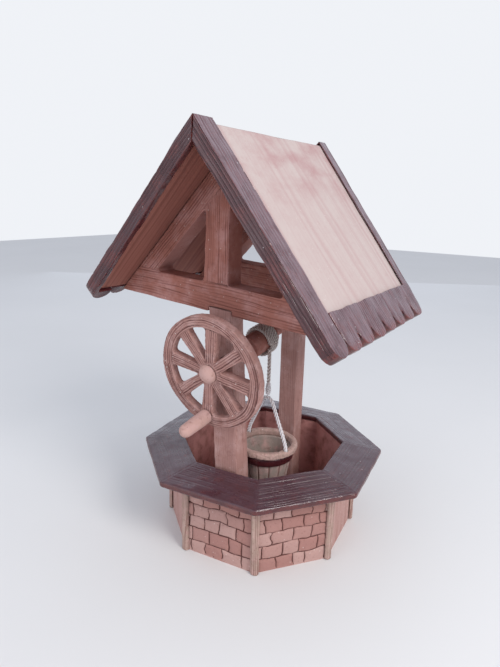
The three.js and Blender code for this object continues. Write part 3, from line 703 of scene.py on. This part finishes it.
class WELL_OT_stage(bpy.types.Operator):
    """Makes the pale floor, the soft lights and the camera"""

    bl_idname = "well.stage"
    bl_label = "Stage"

    def execute(self, context):
        scene = context.scene
        scene.view_settings.view_transform = "Standard"
        camera = bpy.data.objects.new("camera", bpy.data.cameras.new("camera"))
        scene.collection.objects.link(camera)
        camera.data.lens = 27.89
        camera.data.sensor_width = 36
        camera.location = (326.4 * MM, -533.5 * MM, 417.7 * MM)
        turn = Matrix.Rotation(radians(33.237), 4, "Z") @ Matrix.Rotation(radians(90 - 14.749), 4, "X")
        camera.rotation_euler = (turn @ Matrix.Rotation(radians(1.41), 4, "Z")).to_euler()
        camera.data.clip_start = 10 * MM
        scene.camera = camera

        deselect()
        bpy.ops.mesh.primitive_plane_add(size=8, location=(0, 0, 0))
        floor = bpy.context.active_object
        floor.name = "floor"
        made = Finish("floor_pale", (0.72, 0.71, 0.70), 0.9, 0.2)
        made.over(made.noise(0.4), (0.76, 0.75, 0.74))
        floor.data.materials.append(made.material)

        sky(scene)
        lamps = (
            ("key", (1.5, -0.55, 1.35), 0.7, 24, (1, 0.98, 0.96)),
            ("fill", (-0.5, -1.7, 0.6), 1.4, 8, (0.96, 0.97, 1)),
            ("sheen", (-0.9, 1.5, 0.95), 2.4, 3.2, (0.75, 0.85, 1)),
        )
        for name, spot, size, power, tint in lamps:
            lamp = bpy.data.objects.new(name, bpy.data.lights.new(name, "AREA"))
            scene.collection.objects.link(lamp)
            lamp.location = spot
            lamp.rotation_euler = (Vector((0, 0, 0.25)) - Vector(spot)).to_track_quat("-Z", "Y").to_euler()
            lamp.data.size = size
            lamp.data.energy = power
            lamp.data.color = tint
        return {"FINISHED"}


class WELL_OT_finishes(bpy.types.Operator):
    """Makes the clays, glazes and cord finishes"""

    bl_idname = "well.finishes"
    bl_label = "Finishes"

    def execute(self, context):
        c = context.scene.well_colours
        combed = c.clay, c.clay_deep, c.clay_pale
        clay_finish("combed", *combed)
        clay_finish("dusty_combed", c.dusty, c.dusty_deep, c.dusty_pale)
        clay_finish("wheel", c.dusty, c.wheel_deep, c.dusty_pale, cloud=12 * MM, grit=0.6, scored=1.0)
        clay_finish("plain", *combed, combed=False, cloud=20 * MM)
        smooth = c.smooth_clay, c.dusty_deep, c.dusty_pale
        clay_finish("smoothed", *smooth, combed=False, cloud=14 * MM, grit=0.2)
        clay_finish("strip", c.strip, c.dusty_deep, c.brick_pale, cloud=9 * MM)
        clay_finish("collar", c.collar, c.clay_deep, c.brick_pale, combed=False, cloud=4 * MM, grit=0.6)
        clay_finish("staves", c.stave, c.clay_deep, c.dusty_pale, cloud=12 * MM)
        glaze_finish("roof_gloss", c.glaze, c.glaze_thin, c.roof_painted_sheen, 0.28)
        glaze_finish("rim_gloss", c.glaze, c.glaze_thin, c.rim_painted_sheen, 0.3)
        brick_finish("bricks", c)
        panel_finish("panels", c)
        cord_finish("cord", c.cord, c.dusty)
        cord_finish("cord_worn", c.cord_worn, c.dusty_deep)
        return {"FINISHED"}


def winding_path():
    """The wound cord's centreline, from where it leaves the drum to its knot, wider apart at its end."""
    points = []
    for i in range(int(WINDING_TURNS * 40) + 1):
        turn = i / 40
        angle = turn * 2 * pi
        along = WINDING_START + (turn + max(0, turn - 3.0) * 0.6) * WINDING_PITCH
        points.append(AXLE @ Vector((WINDING_RADIUS * cos(angle), along, WINDING_RADIUS * sin(angle))))
    return points


def tied_hitch():
    """Tight turns of the cord's end round the bail's crown, over a core."""
    path = []
    for i in range(HITCH_TURNS * 16 + 1):
        share = i / (HITCH_TURNS * 16)
        angle = 2 * pi * HITCH_TURNS * share
        bulge = 1.7 * MM + 0.7 * MM * sin(pi * share)
        height = HITCH_TOP - 1.5 * MM - (HITCH_TOP - HITCH_FOOT - 3 * MM) * share
        path.append(Vector((BUCKET.x + bulge * cos(angle), BUCKET.y + bulge * sin(angle), height)))
    coil = cord_mesh("hitch_turns", path, 1.4 * MM, 9 * MM, around=15)
    profile = [
        (0, HITCH_FOOT), (1.8 * MM, HITCH_FOOT + 0.4 * MM), (2.2 * MM, HITCH_FOOT + 4 * MM),
        (2.2 * MM, HITCH_TOP - 4 * MM), (1.8 * MM, HITCH_TOP - 0.4 * MM), (0, HITCH_TOP),
    ]
    core = turned("hitch_core", profile, 20, Matrix.Translation((BUCKET.x, BUCKET.y, 0)))
    points = len(core.data.vertices)
    # The core is marked as deep hollow, so the cord finish paints it in shade under the turns.
    mark(core, hollow=np.full(points, 0.6), fibre=np.zeros(points))
    activate(coil, core)
    bpy.ops.object.join()
    coil.name = "cord_hitch_tied"
    return coil


def tied_knot(run):
    """An overhand lump that holds the last turn on the drum."""
    ahead = (run[-1] - run[-2]).normalized()
    out = (run[-1] - AXLE @ Vector((0, (AXLE.inverted() @ run[-1]).y, 0))).normalized()
    side = ahead.cross(out)
    # Past the last turn by the cord's thickness, a gap and half the knot
    middle = run[-1] + ahead * (4.8 + 0.3 + 4) * MM
    path = []
    for i in range(49):
        angle = 2 * pi * i / 24
        along = middle + ahead * (i / 48 - 0.5) * 4.6 * MM
        path.append(along + out * 1.9 * MM * cos(angle) + side * 1.9 * MM * sin(angle))
    return cord_mesh("cord_knot_tied", smooth_path(path, 0.7 * MM), 2.4 * MM, 11 * MM, around=18)


class WELL_OT_cords(bpy.types.Operator):
    """Lays the wound cord, its drop, hitch, bail and knot"""

    bl_idname = "well.cords"
    bl_label = "Cords"

    def execute(self, context):
        sizes = context.scene.well_sizes
        radius = sizes.cord_diameter / 2
        lay = sizes.cord_lay

        drop_path = smooth_path([Vector(p) * MM for p in DROP_ROUTE], 0.7 * MM)
        drop = cord_mesh("drop_cord_twisted", drop_path, radius, lay)
        dress(drop, "cord_worn", None, "cord_fibre", "drop_cord")
        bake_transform(drop)

        bail_path = smooth_path([
            BUCKET + Vector((along * cos(BAIL_TURN), along * sin(BAIL_TURN), height)) * MM
            for along, height in BAIL_ROUTE
        ], 0.7 * MM)
        bail = cord_mesh("bail_cord_twisted", bail_path, radius, lay)
        dress(bail, "cord", "bucket_cord", "cord_fibre", "bail_cord")

        hitch = tied_hitch()
        dress(hitch, "cord", "bucket_cord", "cord_fibre", "cord_hitch")

        run = winding_path()
        wound = cord_mesh("cord_turns", smooth_path(run, 0.9 * MM), radius, lay * 0.8, around=24)
        dress(wound, "cord_worn", None, "cord_fibre", "cord_winding")
        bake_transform(wound)
        dress(tied_knot(run), "cord_worn", "windlass", "cord_fibre", "cord_anchor_knot")

        return {"FINISHED"}


def corner_strip(k):
    """A flattened roll of clay with scratches down its length."""
    strip = knead(copied(f"strip_{k + 1}", f"corner_strip_{k + 1}"), 0.95 * MM, 2)
    places = places_of(strip)
    outward, sideways = side_directions(k - 0.5)
    phase, pressed = comb(places[:, 2], places @ sideways, 2.6 * MM, 40 + k)
    flat = np.clip((places @ outward - WALL_FACE / cos(SIDE_ANGLE / 2) - 3.6 * MM) / (1.8 * MM), 0, 1)
    uneven = swell(places, 11 * MM, 40 + k) * 0.5 * MM + swell(places, 3.5 * MM, k) * 0.2 * MM
    sink(strip, 0.5 * MM + uneven + flat * 0.8 * MM + groove(phase, pressed) * 0.35 * MM)
    mark(strip, phase=phase, pressed=pressed * 0.9)
    dress(strip, "strip", "well", "strip_clay", f"corner_strip_{k + 1}")


def tub_wall(sizes, k):
    """A wall slab with scored bricks or combed clay outside and a combed face inside."""
    outward, sideways = side_directions(k)
    wall = copied(f"wall_{k + 1}", f"tub_wall_{k + 1}")
    with editing(wall):
        bpy.ops.mesh.dissolve_limited(angle_limit=radians(1))
    for cuts, distance in ((12, WALL_FACE), (9, WALL_FACE), (40, WALL_INSIDE)):
        divide(wall, cuts, outward, distance)
    places = places_of(wall)
    across, height, out = places @ sideways, places[:, 2], places @ outward
    face = (np.abs(normals_of(wall) @ outward) > 0.98) * 1.0
    front = (out > WALL_FACE - 0.2 * MM) * face
    inner = (out < WALL_INSIDE + 0.2 * MM) * 1.0
    to_joint, tone = bricks(sizes, across, height, 10 * k)
    phase, pressed = comb(height, across, 5.5 * MM, 60 + k)
    scored = k in BRICKED_SIDES
    if scored:
        depth = (1 - step(0.3, 1.4, to_joint) + 0.45 * (1 - step(0.8, 4.5, to_joint))) * sizes.joint_depth
    else:
        depth = groove(phase, pressed * 0.5) * 0.4 * MM
        tone = 0.55 + 0.35 * swell_flat(across / (9 * MM), height / (60 * MM), k)
    waves = swell(places, 14 * MM, k) * sizes.clay_waviness * 1.5 + swell(places, 4 * MM, 5 + k) * 0.3 * MM
    ends = step(0, 2 * MM, np.minimum(height, WALL_HEIGHT - height))
    inside = groove(phase, pressed) * 0.6 * MM * inner * face
    sink(wall, front * ends * (depth - waves * 0.5 + 0.25 * MM) + inside)
    mark(wall, to_joint=np.where(front * scored > 0, to_joint, 5), tone=tone, inner=inner)
    activate(wall)
    bpy.ops.object.shade_smooth_by_angle(angle=radians(50))
    dress(wall, "bricks", "well", "brick_clay", f"tub_wall_{k + 1}")


def bricks(sizes, across, height, seed):
    """Each point's distance to the nearest scored joint, in half joint widths, and its brick's tone."""
    course, brick = sizes.brick_course, sizes.brick_length
    drift = swell_flat(across / (20 * MM), height / (20 * MM), seed) * 2 * MM
    drift += swell_flat(across / (6 * MM), height / (6 * MM), seed + 1) * 0.7 * MM
    level = (height + drift) / course
    row = np.floor(level).astype(np.int64)
    to_bed = np.abs(level - np.round(level)) * course + (np.round(level) < 1) * course
    start = 0.5 * (row % 2) + 0.14 * dice(seed, row)
    lean = swell_flat(height / (7 * MM), across / (25 * MM), seed + 2) * 1.5 * MM
    spot = (across + lean) / brick + start
    near = np.round(spot).astype(np.int64)
    place = near + 0.2 * dice(seed + 3, near, row)
    to_joint = np.abs(spot - place) * brick
    column = np.where(spot < place, near - 1, near)
    wide = sizes.joint_width * (0.5 + 0.22 * swell_flat(across / (7 * MM), height / (7 * MM), seed + 4))
    return np.minimum(to_bed, to_joint) / wide, 0.5 + 0.5 * dice(seed + 5, column, row)


class WELL_OT_tub(bpy.types.Operator):
    """Models the tub's walls, corner strips and floor"""

    bl_idname = "well.tub"
    bl_label = "Tub"

    def execute(self, context):
        sizes = context.scene.well_sizes
        for k in range(TUB_SIDES):
            tub_wall(sizes, k)
            corner_strip(k)
        floor = frame["nodes"]["tub_floor"]
        floor.data.materials.clear()
        floor.data.materials.append(bpy.data.materials["plain"])
        return {"FINISHED"}


def comb_rim(sizes, ring):
    """Grooves that run along each plank and fade at its mitres."""
    places, normals = places_of(ring), normals_of(ring)
    turn = np.arctan2(places[:, 1], places[:, 0]) - (TUB_TURN - pi / 2)
    nearest = np.round(turn / SIDE_ANGLE)
    facing = nearest * SIDE_ANGLE + TUB_TURN - pi / 2
    across = places[:, 0] * np.cos(facing) + places[:, 1] * np.sin(facing)
    along = places[:, 1] * np.cos(facing) - places[:, 0] * np.sin(facing)
    phase, pressed = comb(along + nearest * 150 * MM, across, sizes.rim_comb_spacing, 90)
    to_mitre = (across * tan(SIDE_ANGLE / 2) - np.abs(along)) * cos(SIDE_ANGLE / 2)
    top = step(0.3, 0.8, normals[:, 2])
    edge = (1 - np.abs(normals[:, 2])) * (across > RIM_EDGE - 6 * MM)
    strong = np.where(np.mod(nearest, TUB_SIDES) == FIRMLY_COMBED_PLANK, 1.0, 0.4)
    strong = strong * (0.25 + 0.75 * step(0, 5 * MM, to_mitre))
    pressed = np.clip(pressed * strong * 1.2, 0, 1) * top
    edge_phase = places[:, 2] / (2.8 * MM)
    dent = np.exp(-(to_mitre / (1.2 * MM)) ** 2) * 0.35 * MM
    uneven = swell(places, 24 * MM, 7) * sizes.clay_waviness * 2.6 + swell(places, 8 * MM, 8) * 0.4 * MM
    lines = groove(phase, pressed, 1.5) * sizes.rim_comb_depth + groove(edge_phase, edge * 0.6) * 0.4 * MM
    sink(ring, 0.55 * MM + lines + dent - uneven * 0.4)
    # upward marks the tops, where the glaze gets its painted sheen.
    mark(ring, phase=phase * top + edge_phase * (1 - top), pressed=np.maximum(pressed, edge * 0.5),
         upward=top, edge=0.35 * step(0.1, 0.5, edge))


def rim_plank(ring, k):
    """Cuts one plank out of a copy of the ring."""
    plank = duplicated(f"plank_{k + 1}", ring)
    facing = k * SIDE_ANGLE + TUB_TURN - pi / 2
    for end in (1, -1):
        mitre = facing - end * SIDE_ANGLE / 2
        away = (-end * sin(mitre), end * cos(mitre), 0)
        with editing(plank):
            bpy.ops.mesh.bisect(plane_co=(0, 0, 0), plane_no=away, use_fill=True, clear_inner=True)
    bpy.ops.object.shade_smooth_by_angle(angle=radians(50))
    dress(plank, "rim_gloss", "well", "rim_glaze", f"rim_plank_{k + 1}")


class WELL_OT_rim(bpy.types.Operator):
    """Models the glazed planks of the rim as one pressed ring, cut at its mitres"""

    bl_idname = "well.rim"
    bl_label = "Rim"

    def execute(self, context):
        sizes = context.scene.well_sizes
        ring = copied("rim_ring", *[f"rim_plank_{k + 1}" for k in range(TUB_SIDES)])
        modify(ring, "DISPLACE", strength=0.3 * MM, mid_level=0)
        knead(ring, 1.1 * MM, 2)
        comb_rim(sizes, ring)
        for k in range(TUB_SIDES):
            rim_plank(ring, k)
        bpy.data.objects.remove(ring)
        return {"FINISHED"}


class WELL_OT_posts(bpy.types.Operator):
    """Models the two posts"""

    bl_idname = "well.posts"
    bl_label = "Posts"

    def execute(self, context):
        sizes = context.scene.well_sizes
        for seed, end in ((120, "front"), (130, "back")):
            post = knead(copied(f"{end}_post_combed", f"{end}_post"), 1.05 * MM, 3)
            places, normals = places_of(post), normals_of(post)
            across = np.where(np.abs(normals[:, 1]) > 0.7, places[:, 0], places[:, 1])
            phase, pressed = comb(places[:, 2], across, sizes.comb_spacing, seed)
            comb_piece(post, phase, pressed * 0.4, sizes.comb_depth, sizes.clay_waviness, seed)
            mark(post, edge=rounded(*normals_of(post).T))
            dress(post, "dusty_combed", "well", "bare_clay", f"{end}_post")
        return {"FINISHED"}


def crank_wheel(sizes):
    """The wheel, with grooves along each spoke and round the ring."""
    wheel = knead(copied("wheel_combed", "crank_wheel"), 0.72 * MM, 3, AXLE)
    places, normals = places_of(wheel), normals_of(wheel)
    radius = np.hypot(places[:, 0], places[:, 2])
    angle = np.arctan2(places[:, 2], places[:, 0]) - WHEEL_TURN
    spoke = np.round(angle / SPOKE_ANGLE).astype(np.int64)
    spacing = sizes.spoke_comb_spacing
    aside = radius * np.sin(angle - spoke * SPOKE_ANGLE) + 0.4 * spacing * dice(3, spoke)
    on_spoke = comb(radius + spoke * 0.5, aside, spacing, 140)
    on_ring = comb(angle * 50 * MM, radius, spacing * 1.05, 150)
    ring = step(WHEEL_RING - 2 * MM, WHEEL_RING, radius)
    phase, pressed = np.where(ring > 0.5, on_ring, on_spoke)
    phase = phase + (swell(places, 9 * MM, 155) * 0.18 + swell(places, 2.5 * MM, 156) * 0.08)
    pressed = pressed * (0.75 + 0.4 * swell(places, 5 * MM, 157))
    past_hub = step(WHEEL_HUB, WHEEL_HUB + 3 * MM, radius)
    flat = step(0.55, 0.85, np.abs(normals[:, 1])) * (0.25 + 0.75 * past_hub)
    pressed = np.clip(pressed + 0.25, 0, 1)
    comb_piece(wheel, phase, pressed, sizes.spoke_comb_depth, sizes.clay_waviness * 2, 141, flat)
    settle(wheel, AXLE)
    dress(wheel, "wheel", "windlass", "bare_clay", "crank_wheel")


class WELL_OT_windlass(bpy.types.Operator):
    """Models the axle with its drum, the crank wheel, its cap and handle"""

    bl_idname = "well.windlass"
    bl_label = "Windlass"

    def execute(self, context):
        sizes = context.scene.well_sizes
        crank_wheel(sizes)
        for name, node, grain, seed in (
            ("hub_cap_domed", "wheel_hub_cap", 0.6, 160),
            ("handle_peg", "wheel_handle", 0.8, 170),
        ):
            piece = knead(copied(name, node), grain * MM, 3, AXLE)
            sink(piece, -swell(places_of(piece), 9 * MM, seed) * 0.3 * MM + 0.15 * MM)
            settle(piece, AXLE)
            dress(piece, "smoothed", "windlass", "smooth_clay", node)

        drum = knead(copied("axle_with_drum", "axle_drum"), 0.95 * MM, 2, AXLE)
        places = places_of(drum)
        uneven = swell(places, 12 * MM, 180) * 0.25 + swell(places, 4 * MM, 181) * 0.1
        sink(drum, (0.2 - uneven) * MM)
        settle(drum, AXLE)
        dress(drum, "plain", "windlass", "bare_clay", "axle_drum")
        return {"FINISHED"}


def bucket_angle(places):
    """Each place's angle round the bucket."""
    return np.arctan2(places[:, 1] - BUCKET.y, places[:, 0] - BUCKET.x)


def split_staves(piece):
    """Seams between the staves, and an upper edge drawn up so that no gap shows under the collar."""
    places, normals = places_of(piece), normals_of(piece)
    angle = bucket_angle(places)
    outward = normals[:, 0] * np.cos(angle) + normals[:, 1] * np.sin(angle)
    split = angle * STAVES / (2 * pi) + 0.02 * swell_flat(places[:, 2] / (12 * MM), angle, 3)
    to_split = np.abs(split - np.round(split)) * 2 * pi * 28 * MM / STAVES
    seam = (1 - step(0.3 * MM, 1.1 * MM, to_split)) * step(0.3, 0.8, outward)
    sink(piece, seam * 0.9 * MM - swell(places, 8 * MM, 190) * 0.2 * MM + 0.1 * MM)
    places = places_of(piece)
    top = places[:, 2].max()
    places[:, 2] += step(top - 3 * MM, top, places[:, 2]) * 1.3 * MM
    move(piece, places)
    mark(piece, phase=np.where(seam > 0, 0, 0.5), pressed=seam)


class WELL_OT_bucket(bpy.types.Operator):
    """Models the bucket's staves, base, hoop and collar"""

    bl_idname = "well.bucket"
    bl_label = "Bucket"

    def execute(self, context):
        for name, node, grain in (
            ("bucket_staves", "bucket_body", 0.9),
            ("bucket_floor", "bucket_base", 1.2),
        ):
            piece = knead(copied(name, node), grain * MM, 2)
            split_staves(piece)
            dress(piece, "staves", "bucket", "stave_clay", node)
        collar = knead(copied("bucket_collar_rough", "bucket_collar"), 0.62 * MM, 2)
        places = places_of(collar)
        pits = np.clip(swell(places, 2.6 * MM, 200) - 0.25, 0, 1) * 1.1 * MM
        sink(collar, pits - swell(places, 9 * MM, 201) * 0.35 * MM + 0.25 * MM)
        dress(collar, "collar", "bucket", "collar_clay", "bucket_collar")
        hoop = knead(copied("bucket_hoop_glazed", "bucket_hoop"), 0.62 * MM, 2)
        places = places_of(hoop)
        phase, pressed = comb(bucket_angle(places) * 30 * MM, places[:, 2], 3 * MM, 210)
        comb_piece(hoop, phase, pressed * 0.6, 0.25 * MM, 0.5 * MM, 211)
        dress(hoop, "roof_gloss", "bucket", "hoop_glaze", "bucket_hoop")
        return {"FINISHED"}


def downhill(side):
    """Down one side of the roof, along its slope."""
    return np.array([side * cos(ROOF_SLOPE), 0, -sin(ROOF_SLOPE)])


def roof_piece(name, node, grain, softness, side):
    """A kneaded copy of a piece on one side, in the roof's own place, and where its points are on the slope:
    their distance down from the ridge, along it and off the slope, and how far they face up and downhill."""
    slope = ROOF @ Matrix.Rotation(side * ROOF_SLOPE, 4, "Y")
    piece = knead(copied(name, node), grain, softness, slope)
    settle(piece, ROOF.inverted() @ slope)
    places, normals = places_of(piece), normals_of(piece)
    off = np.array([side * sin(ROOF_SLOPE), 0, cos(ROOF_SLOPE)])
    from_apex = places - np.array([0, 0, ROOF_APEX])
    from_ridge = from_apex @ downhill(side)
    lead = RIDGE_LEAD * (1 - from_ridge / SLOPE_LENGTH) / (ROOF_BACK - ROOF_FRONT)
    along = (places[:, 1] + lead * ROOF_BACK) / (1 + lead)
    return piece, from_ridge, along, from_apex @ off, normals @ off, normals @ downhill(side)


class WELL_OT_panels(bpy.types.Operator):
    """Models the two roof panels"""

    bl_idname = "well.panels"
    bl_label = "Roof panels"

    def execute(self, context):
        for side, word in ((1, "right"), (-1, "left")):
            panel, down, along, _, up, _ = roof_piece(f"panel_{word}", f"roof_slab_{word}", 2 * MM, 1, side)
            places = places_of(panel)
            phase, pressed = comb(down, along, 9 * MM, 220)
            uneven = swell(places, 45 * MM, 221) * 0.35 + swell(places, 12 * MM, 222) * 0.12
            sink(panel, (0.3 - uneven) * MM)
            mark(panel, phase=phase, pressed=pressed, under=1 - step(-0.3, 0.3, up),
                 blush=1 - 0.85 * step(30 * MM, 120 * MM, down))
            settle(panel, ROOF)
            dress(panel, "panels", "roof", "panel_clay", f"roof_slab_{word}")
        return {"FINISHED"}


def glazed_verge(sizes, side, node, grain, seed):
    """A verge with deep grooves down its upright face and faint ones down its top."""
    verge, down, along, off, up, fall = roof_piece(f"{node}_glazed", node, grain, 2, side)
    ahead = np.abs(normals_of(verge)[:, 1])
    face = step(0.5, 0.85, ahead)
    face_phase, face_pressed = comb(down, off, sizes.barge_groove_spacing, seed + side)
    top_phase, top_pressed = comb(down, along, 5 * MM, seed + 5 + side)
    phase = np.where(face > 0.5, face_phase, top_phase)
    face_pressed = np.clip(face_pressed + 0.3, 0, 1) * face
    pressed = np.where(face > 0.5, face_pressed, top_pressed * step(0.5, 0.85, up) * 0.5)
    comb_piece(verge, phase, pressed, sizes.barge_groove_depth, sizes.clay_waviness * 2.8, seed)
    # upward marks the tops, where the glaze gets its painted sheen.
    mark(verge, upward=step(0.2, 0.85, up), edge=rounded(ahead, up, fall))
    settle(verge, ROOF)
    dress(verge, "roof_gloss", "roof", "roof_glaze", node)


def eave_band(sizes, side, word):
    """A band with its lobes split by valleys, drawn up a little over the panel's foot."""
    node = f"eave_band_{word}"
    band, down, along, off, up, fall = roof_piece(f"eave_{word}_lobed", node, 0.8 * MM, 2, side)
    ahead = np.abs(normals_of(band)[:, 1])
    front = ROOF_FRONT + FRONT_VERGE_WIDTH
    pitch = (ROOF_BACK - front) / LOBES
    lobe = (along - front) / pitch
    away = lobe - np.round(lobe)
    to_slot = np.abs(away) * pitch
    root = SLOPE_LENGTH - LOBE_LENGTH
    out = step(root, SLOPE_LENGTH, down)
    valley = (1 - step(0.5 * MM, 6 * MM, to_slot)) * step(SLOPE_LENGTH - BAND_WIDTH, root, down)
    phase, pressed = comb(down, along, 4.2 * MM, 250 + side)
    top = step(0.3, 0.8, up)
    comb_piece(band, phase, pressed * top * 0.8, 0.5 * MM, sizes.clay_waviness * 2.4, 251)
    tilt = swell_flat(np.round(lobe + 0.5) * 3.3, down / (20 * MM), 252) * 0.5 * MM * top
    sink(band, valley * top * (1.2 + 1.4 * out) * MM + tilt)
    moved = places_of(band)
    moved[:, 1] += np.sign(away) * (1 - step(2 * MM, 8 * MM, to_slot)) * out * 1.5 * MM
    ragged = 1.1 + 0.5 * swell_flat(along / (9 * MM), off / (9 * MM), 253)
    drawn = (1 - step(0, 4 * MM, down - down.min())) * ragged * MM
    moved -= downhill(side) * drawn[:, None]
    move(band, moved)
    tips = step(SLOPE_LENGTH - 12 * MM, SLOPE_LENGTH - 2 * MM, down) * 0.7
    # upward marks the tops for the painted sheen, with less of it in the valleys between the lobes.
    mark(band, upward=top * (1 - 0.6 * valley), edge=np.maximum(tips, rounded(ahead, up, fall)))
    settle(band, ROOF)
    dress(band, "roof_gloss", "roof", "roof_glaze", node)


class WELL_OT_verges(bpy.types.Operator):
    """Models the glazed verges and the lobed eave bands"""

    bl_idname = "well.verges"
    bl_label = "Verges and eaves"

    def execute(self, context):
        sizes = context.scene.well_sizes
        for side, word in ((1, "right"), (-1, "left")):
            glazed_verge(sizes, side, f"front_verge_{word}", 0.78 * MM, 230)
            glazed_verge(sizes, side, f"back_verge_{word}", 0.85 * MM, 240)
            eave_band(sizes, side, word)
        return {"FINISHED"}


def ridge_height(off):
    """Height at the ridge of the line that lies so far under the slope."""
    return ROOF_APEX - off / cos(ROOF_SLOPE)


def truss_window(truss, front, side, inner, crossing):
    """Cuts the opening between tie beam, king post and one rafter."""
    edge = crossing + side * KING_HALF
    foot = (inner - BEAM_TOP) / tan(ROOF_SLOPE)
    head = (edge + KING_LEAN * (inner - BEAM_TOP)) / (1 + side * KING_LEAN * tan(ROOF_SLOPE))
    window = plate("window", [
        (edge, BEAM_TOP), (side * foot, BEAM_TOP), (head, inner - side * head * tan(ROOF_SLOPE)),
    ], front - 5 * MM, front + TRUSS_DEPTH + 5 * MM)
    modify(window, "BEVEL", width=6 * MM, segments=4, limit_method="ANGLE", angle_limit=radians(91))
    modify(truss, "BOOLEAN", operation="DIFFERENCE", object=window, solver="EXACT")
    bpy.data.objects.remove(window)


def comb_truss(sizes, truss, inner, crossing, seed):
    """Grooves along the tie beam, the king post and the rafters."""
    places, normals = places_of(truss), normals_of(truss)
    x, z = places[:, 0], places[:, 2]
    side = np.where(x >= crossing, 1, -1)
    down = (np.abs(x) * cos(ROOF_SLOPE) - (z - ROOF_APEX) * sin(ROOF_SLOPE))
    off = -(np.abs(x) * sin(ROOF_SLOPE) + (z - ROOF_APEX) * cos(ROOF_SLOPE))
    on_king = (z < inner[1] - x * tan(ROOF_SLOPE)) & (z < inner[-1] + x * tan(ROOF_SLOPE))
    beam = comb(x, z, sizes.comb_spacing, seed)
    king = comb(z, x - KING_LEAN * z, sizes.comb_spacing, seed + 3)
    rafter = comb(down + 0.4 * side, off, sizes.comb_spacing, seed + 6)
    phase, pressed = np.where(z < BEAM_TOP + 1 * MM, beam, np.where(on_king, king, rafter))
    face = step(0.5, 0.85, np.abs(normals[:, 1]))
    comb_piece(truss, phase, pressed, sizes.comb_depth * 1.15, sizes.clay_waviness * 2, seed + 9, face)
    mark(truss, edge=rounded(*normals_of(truss).T))


class WELL_OT_trusses(bpy.types.Operator):
    """Cuts the two trusses from one slab each"""

    bl_idname = "well.trusses"
    bl_label = "Trusses"

    def execute(self, context):
        sizes = context.scene.well_sizes
        trusses = (("front", -92.5 * MM, -3 * MM, 30 * MM, 260), ("back", 54.5 * MM, 2.5 * MM, 26 * MM, 270))
        inner = {side: ridge_height(RAFTER_TOP + wide) for side, wide in RAFTER_WIDTHS.items()}
        crossing = (inner[1] - inner[-1]) / (2 * tan(ROOF_SLOPE))
        outer = ridge_height(RAFTER_TOP)
        reach = (outer - BEAM_LOW) / tan(ROOF_SLOPE)
        for end, front, head, width, seed in trusses:
            notch = (head + ROOF_SHIFT) * cos(ROOF_TILT)
            notch_top = (head + ROOF_SHIFT) * sin(ROOF_TILT) + NOTCH_GAP
            half = width / 2 + 1 * MM
            truss = plate(f"{end}_truss", [
                (-reach, BEAM_LOW), (notch - half, BEAM_LOW), (notch - half, notch_top),
                (notch + half, notch_top), (notch + half, BEAM_LOW), (reach, BEAM_LOW), (0, outer),
            ], front, front + TRUSS_DEPTH)
            for side in (1, -1):
                truss_window(truss, front, side, inner[side], crossing)
            knead(truss, 1.25 * MM, 3)
            comb_truss(sizes, truss, inner, crossing, seed)
            settle(truss, ROOF)
            nodes = [f"{end}_{word}" for word in ("tie_beam", "king_post", "rafter_right", "rafter_left")]
            dress(truss, "combed", "roof", "bare_clay", *nodes)
        return {"FINISHED"}


class WELL_PT_panel(bpy.types.Panel):
    """Lists the well's sizes, colours and pieces"""

    bl_label = "Clay wishing well"
    bl_space_type = "VIEW_3D"
    bl_region_type = "UI"
    bl_category = "Well"

    def draw(self, context):
        for group in (context.scene.well_sizes, context.scene.well_colours):
            for name in type(group).__annotations__:
                self.layout.prop(group, name)
        for operator in OPERATORS:
            self.layout.operator(operator.bl_idname)


OPERATORS = (
    WELL_OT_stage,
    WELL_OT_finishes,
    WELL_OT_cords,
    WELL_OT_tub,
    WELL_OT_rim,
    WELL_OT_posts,
    WELL_OT_windlass,
    WELL_OT_bucket,
    WELL_OT_panels,
    WELL_OT_verges,
    WELL_OT_trusses,
)
CLASSES = (WellSizes, WellColours, *OPERATORS, WELL_PT_panel)


def register():
    for cls in CLASSES:
        bpy.utils.register_class(cls)
    bpy.types.Scene.well_sizes = bpy.props.PointerProperty(type=WellSizes)
    bpy.types.Scene.well_colours = bpy.props.PointerProperty(type=WellColours)


def unregister():
    del bpy.types.Scene.well_colours
    del bpy.types.Scene.well_sizes
    for cls in reversed(CLASSES):
        bpy.utils.unregister_class(cls)


def main():
    register()
    for operator in OPERATORS:
        group, name = operator.bl_idname.split(".")
        getattr(getattr(bpy.ops, group), name)()


if __name__ == "__main__":
    main()
